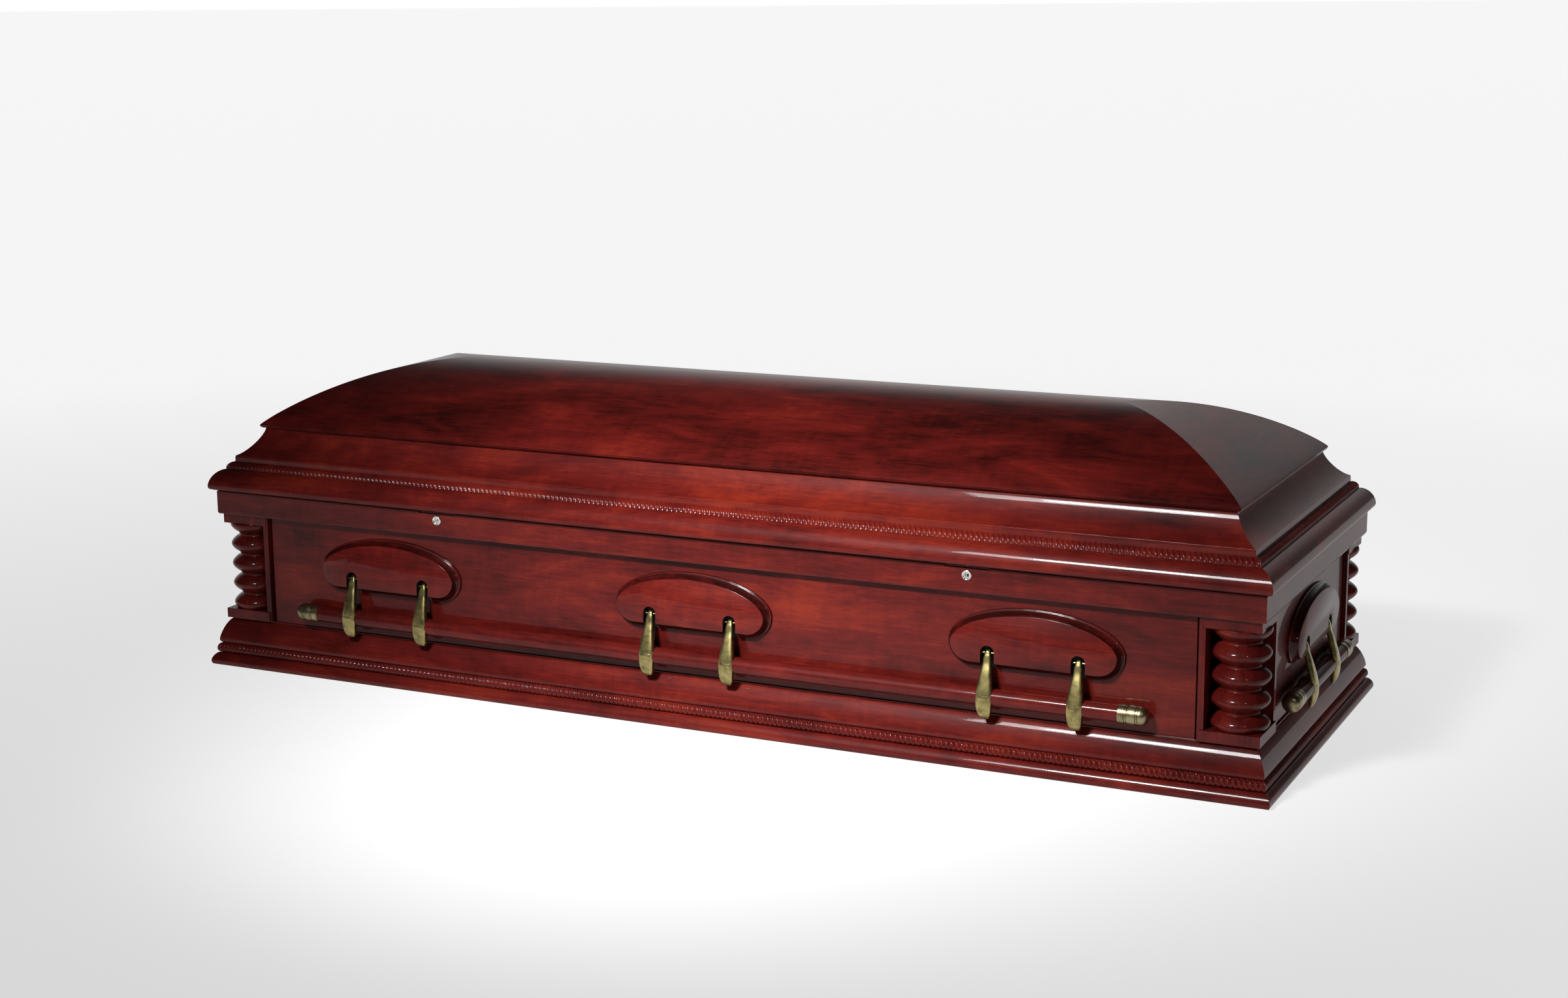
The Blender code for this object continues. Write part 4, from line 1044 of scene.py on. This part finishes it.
class CASKET_OT_studio(bpy.types.Operator):
    """Pale floor with a painted glow, soft boxes, backdrop and the camera"""

    bl_idname = "casket.studio"
    bl_label = "Studio"

    def execute(self, context):
        setup = context.scene.casket_studio
        mesh = bmesh.new()
        bmesh.ops.create_grid(mesh, x_segments=1, y_segments=1, size=FLOOR_HALF)
        data = bpy.data.meshes.new("studio_floor")
        mesh.to_mesh(data)
        mesh.free()
        data.materials.append(glowing_floor())
        floor = bpy.data.objects.new("studio_floor", data)
        floor.location = (0.0, 0.0, -FLOOR_DROP)
        context.scene.collection.objects.link(floor)
        studio_sky()
        # A small hot box inside a wide dim one gives the highlights a white core and soft ends
        for name, size, share in KEY_BOXES:
            key = soft_box(name, setup.key_place, size, share * setup.key_power, KEY_AIM)
            key.data.spread = setup.key_spread
        soft_box("side_box", setup.side_place, SIDE_SIZE, setup.side_power, SIDE_AIM)
        # Plain sRGB tones, so that the red of the wood keeps its depth
        context.scene.view_settings.view_transform = "Standard"
        self.add_camera(context, setup)
        return {"FINISHED"}

    def add_camera(self, context, setup):
        """Builds the camera's axes from its turn, tilt and roll."""
        level = math.cos(setup.pitch)
        forward = Vector((-math.sin(setup.yaw) * level, math.cos(setup.yaw) * level, -math.sin(setup.pitch)))
        right = Vector((math.cos(setup.yaw), math.sin(setup.yaw), 0.0))
        down = forward.cross(right)
        image_x = math.cos(setup.roll) * right + math.sin(setup.roll) * down
        image_y = -math.sin(setup.roll) * right + math.cos(setup.roll) * down
        camera = bpy.data.cameras.new("camera")
        camera.lens = setup.lens
        camera.sensor_fit = "HORIZONTAL"
        camera.sensor_width = 36.0
        camera.clip_end = 200.0
        view = bpy.data.objects.new("camera", camera)
        axes = Matrix((image_x, -image_y, -forward)).transposed().to_4x4()
        view.matrix_world = Matrix.Translation(setup.place) @ axes
        context.scene.collection.objects.link(view)
        context.scene.camera = view


OPERATORS = (
    CASKET_OT_mouldings,
    CASKET_OT_ropes,
    CASKET_OT_columns,
    CASKET_OT_plates,
    CASKET_OT_arms,
    CASKET_OT_bars,
    CASKET_OT_sockets,
    CASKET_OT_finishes,
    CASKET_OT_studio,
)


class CASKET_PT_panel(bpy.types.Panel):
    """Lists the steps that dress the casket"""

    bl_label = "Casket"
    bl_idname = "CASKET_PT_panel"
    bl_space_type = "VIEW_3D"
    bl_region_type = "UI"
    bl_category = "Casket"

    def draw(self, context):
        for operator in OPERATORS:
            self.layout.operator(operator.bl_idname)
        for group in (context.scene.casket_sizes, context.scene.casket_colours, context.scene.casket_studio):
            box = self.layout.box()
            for key in group.__annotations__:
                box.prop(group, key)


CLASSES = (CasketSizes, CasketColours, StudioSettings) + OPERATORS + (CASKET_PT_panel,)


def register():
    for item in CLASSES:
        bpy.utils.register_class(item)
    bpy.types.Scene.casket_sizes = PointerProperty(type=CasketSizes)
    bpy.types.Scene.casket_colours = PointerProperty(type=CasketColours)
    bpy.types.Scene.casket_studio = PointerProperty(type=StudioSettings)


def unregister():
    del bpy.types.Scene.casket_studio
    del bpy.types.Scene.casket_colours
    del bpy.types.Scene.casket_sizes
    for item in reversed(CLASSES):
        bpy.utils.unregister_class(item)


def main():
    """Registers the add-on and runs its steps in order."""
    register()
    for operator in OPERATORS:
        group, name = operator.bl_idname.split(".")
        getattr(getattr(bpy.ops, group), name)()


if __name__ == "__main__":
    main()
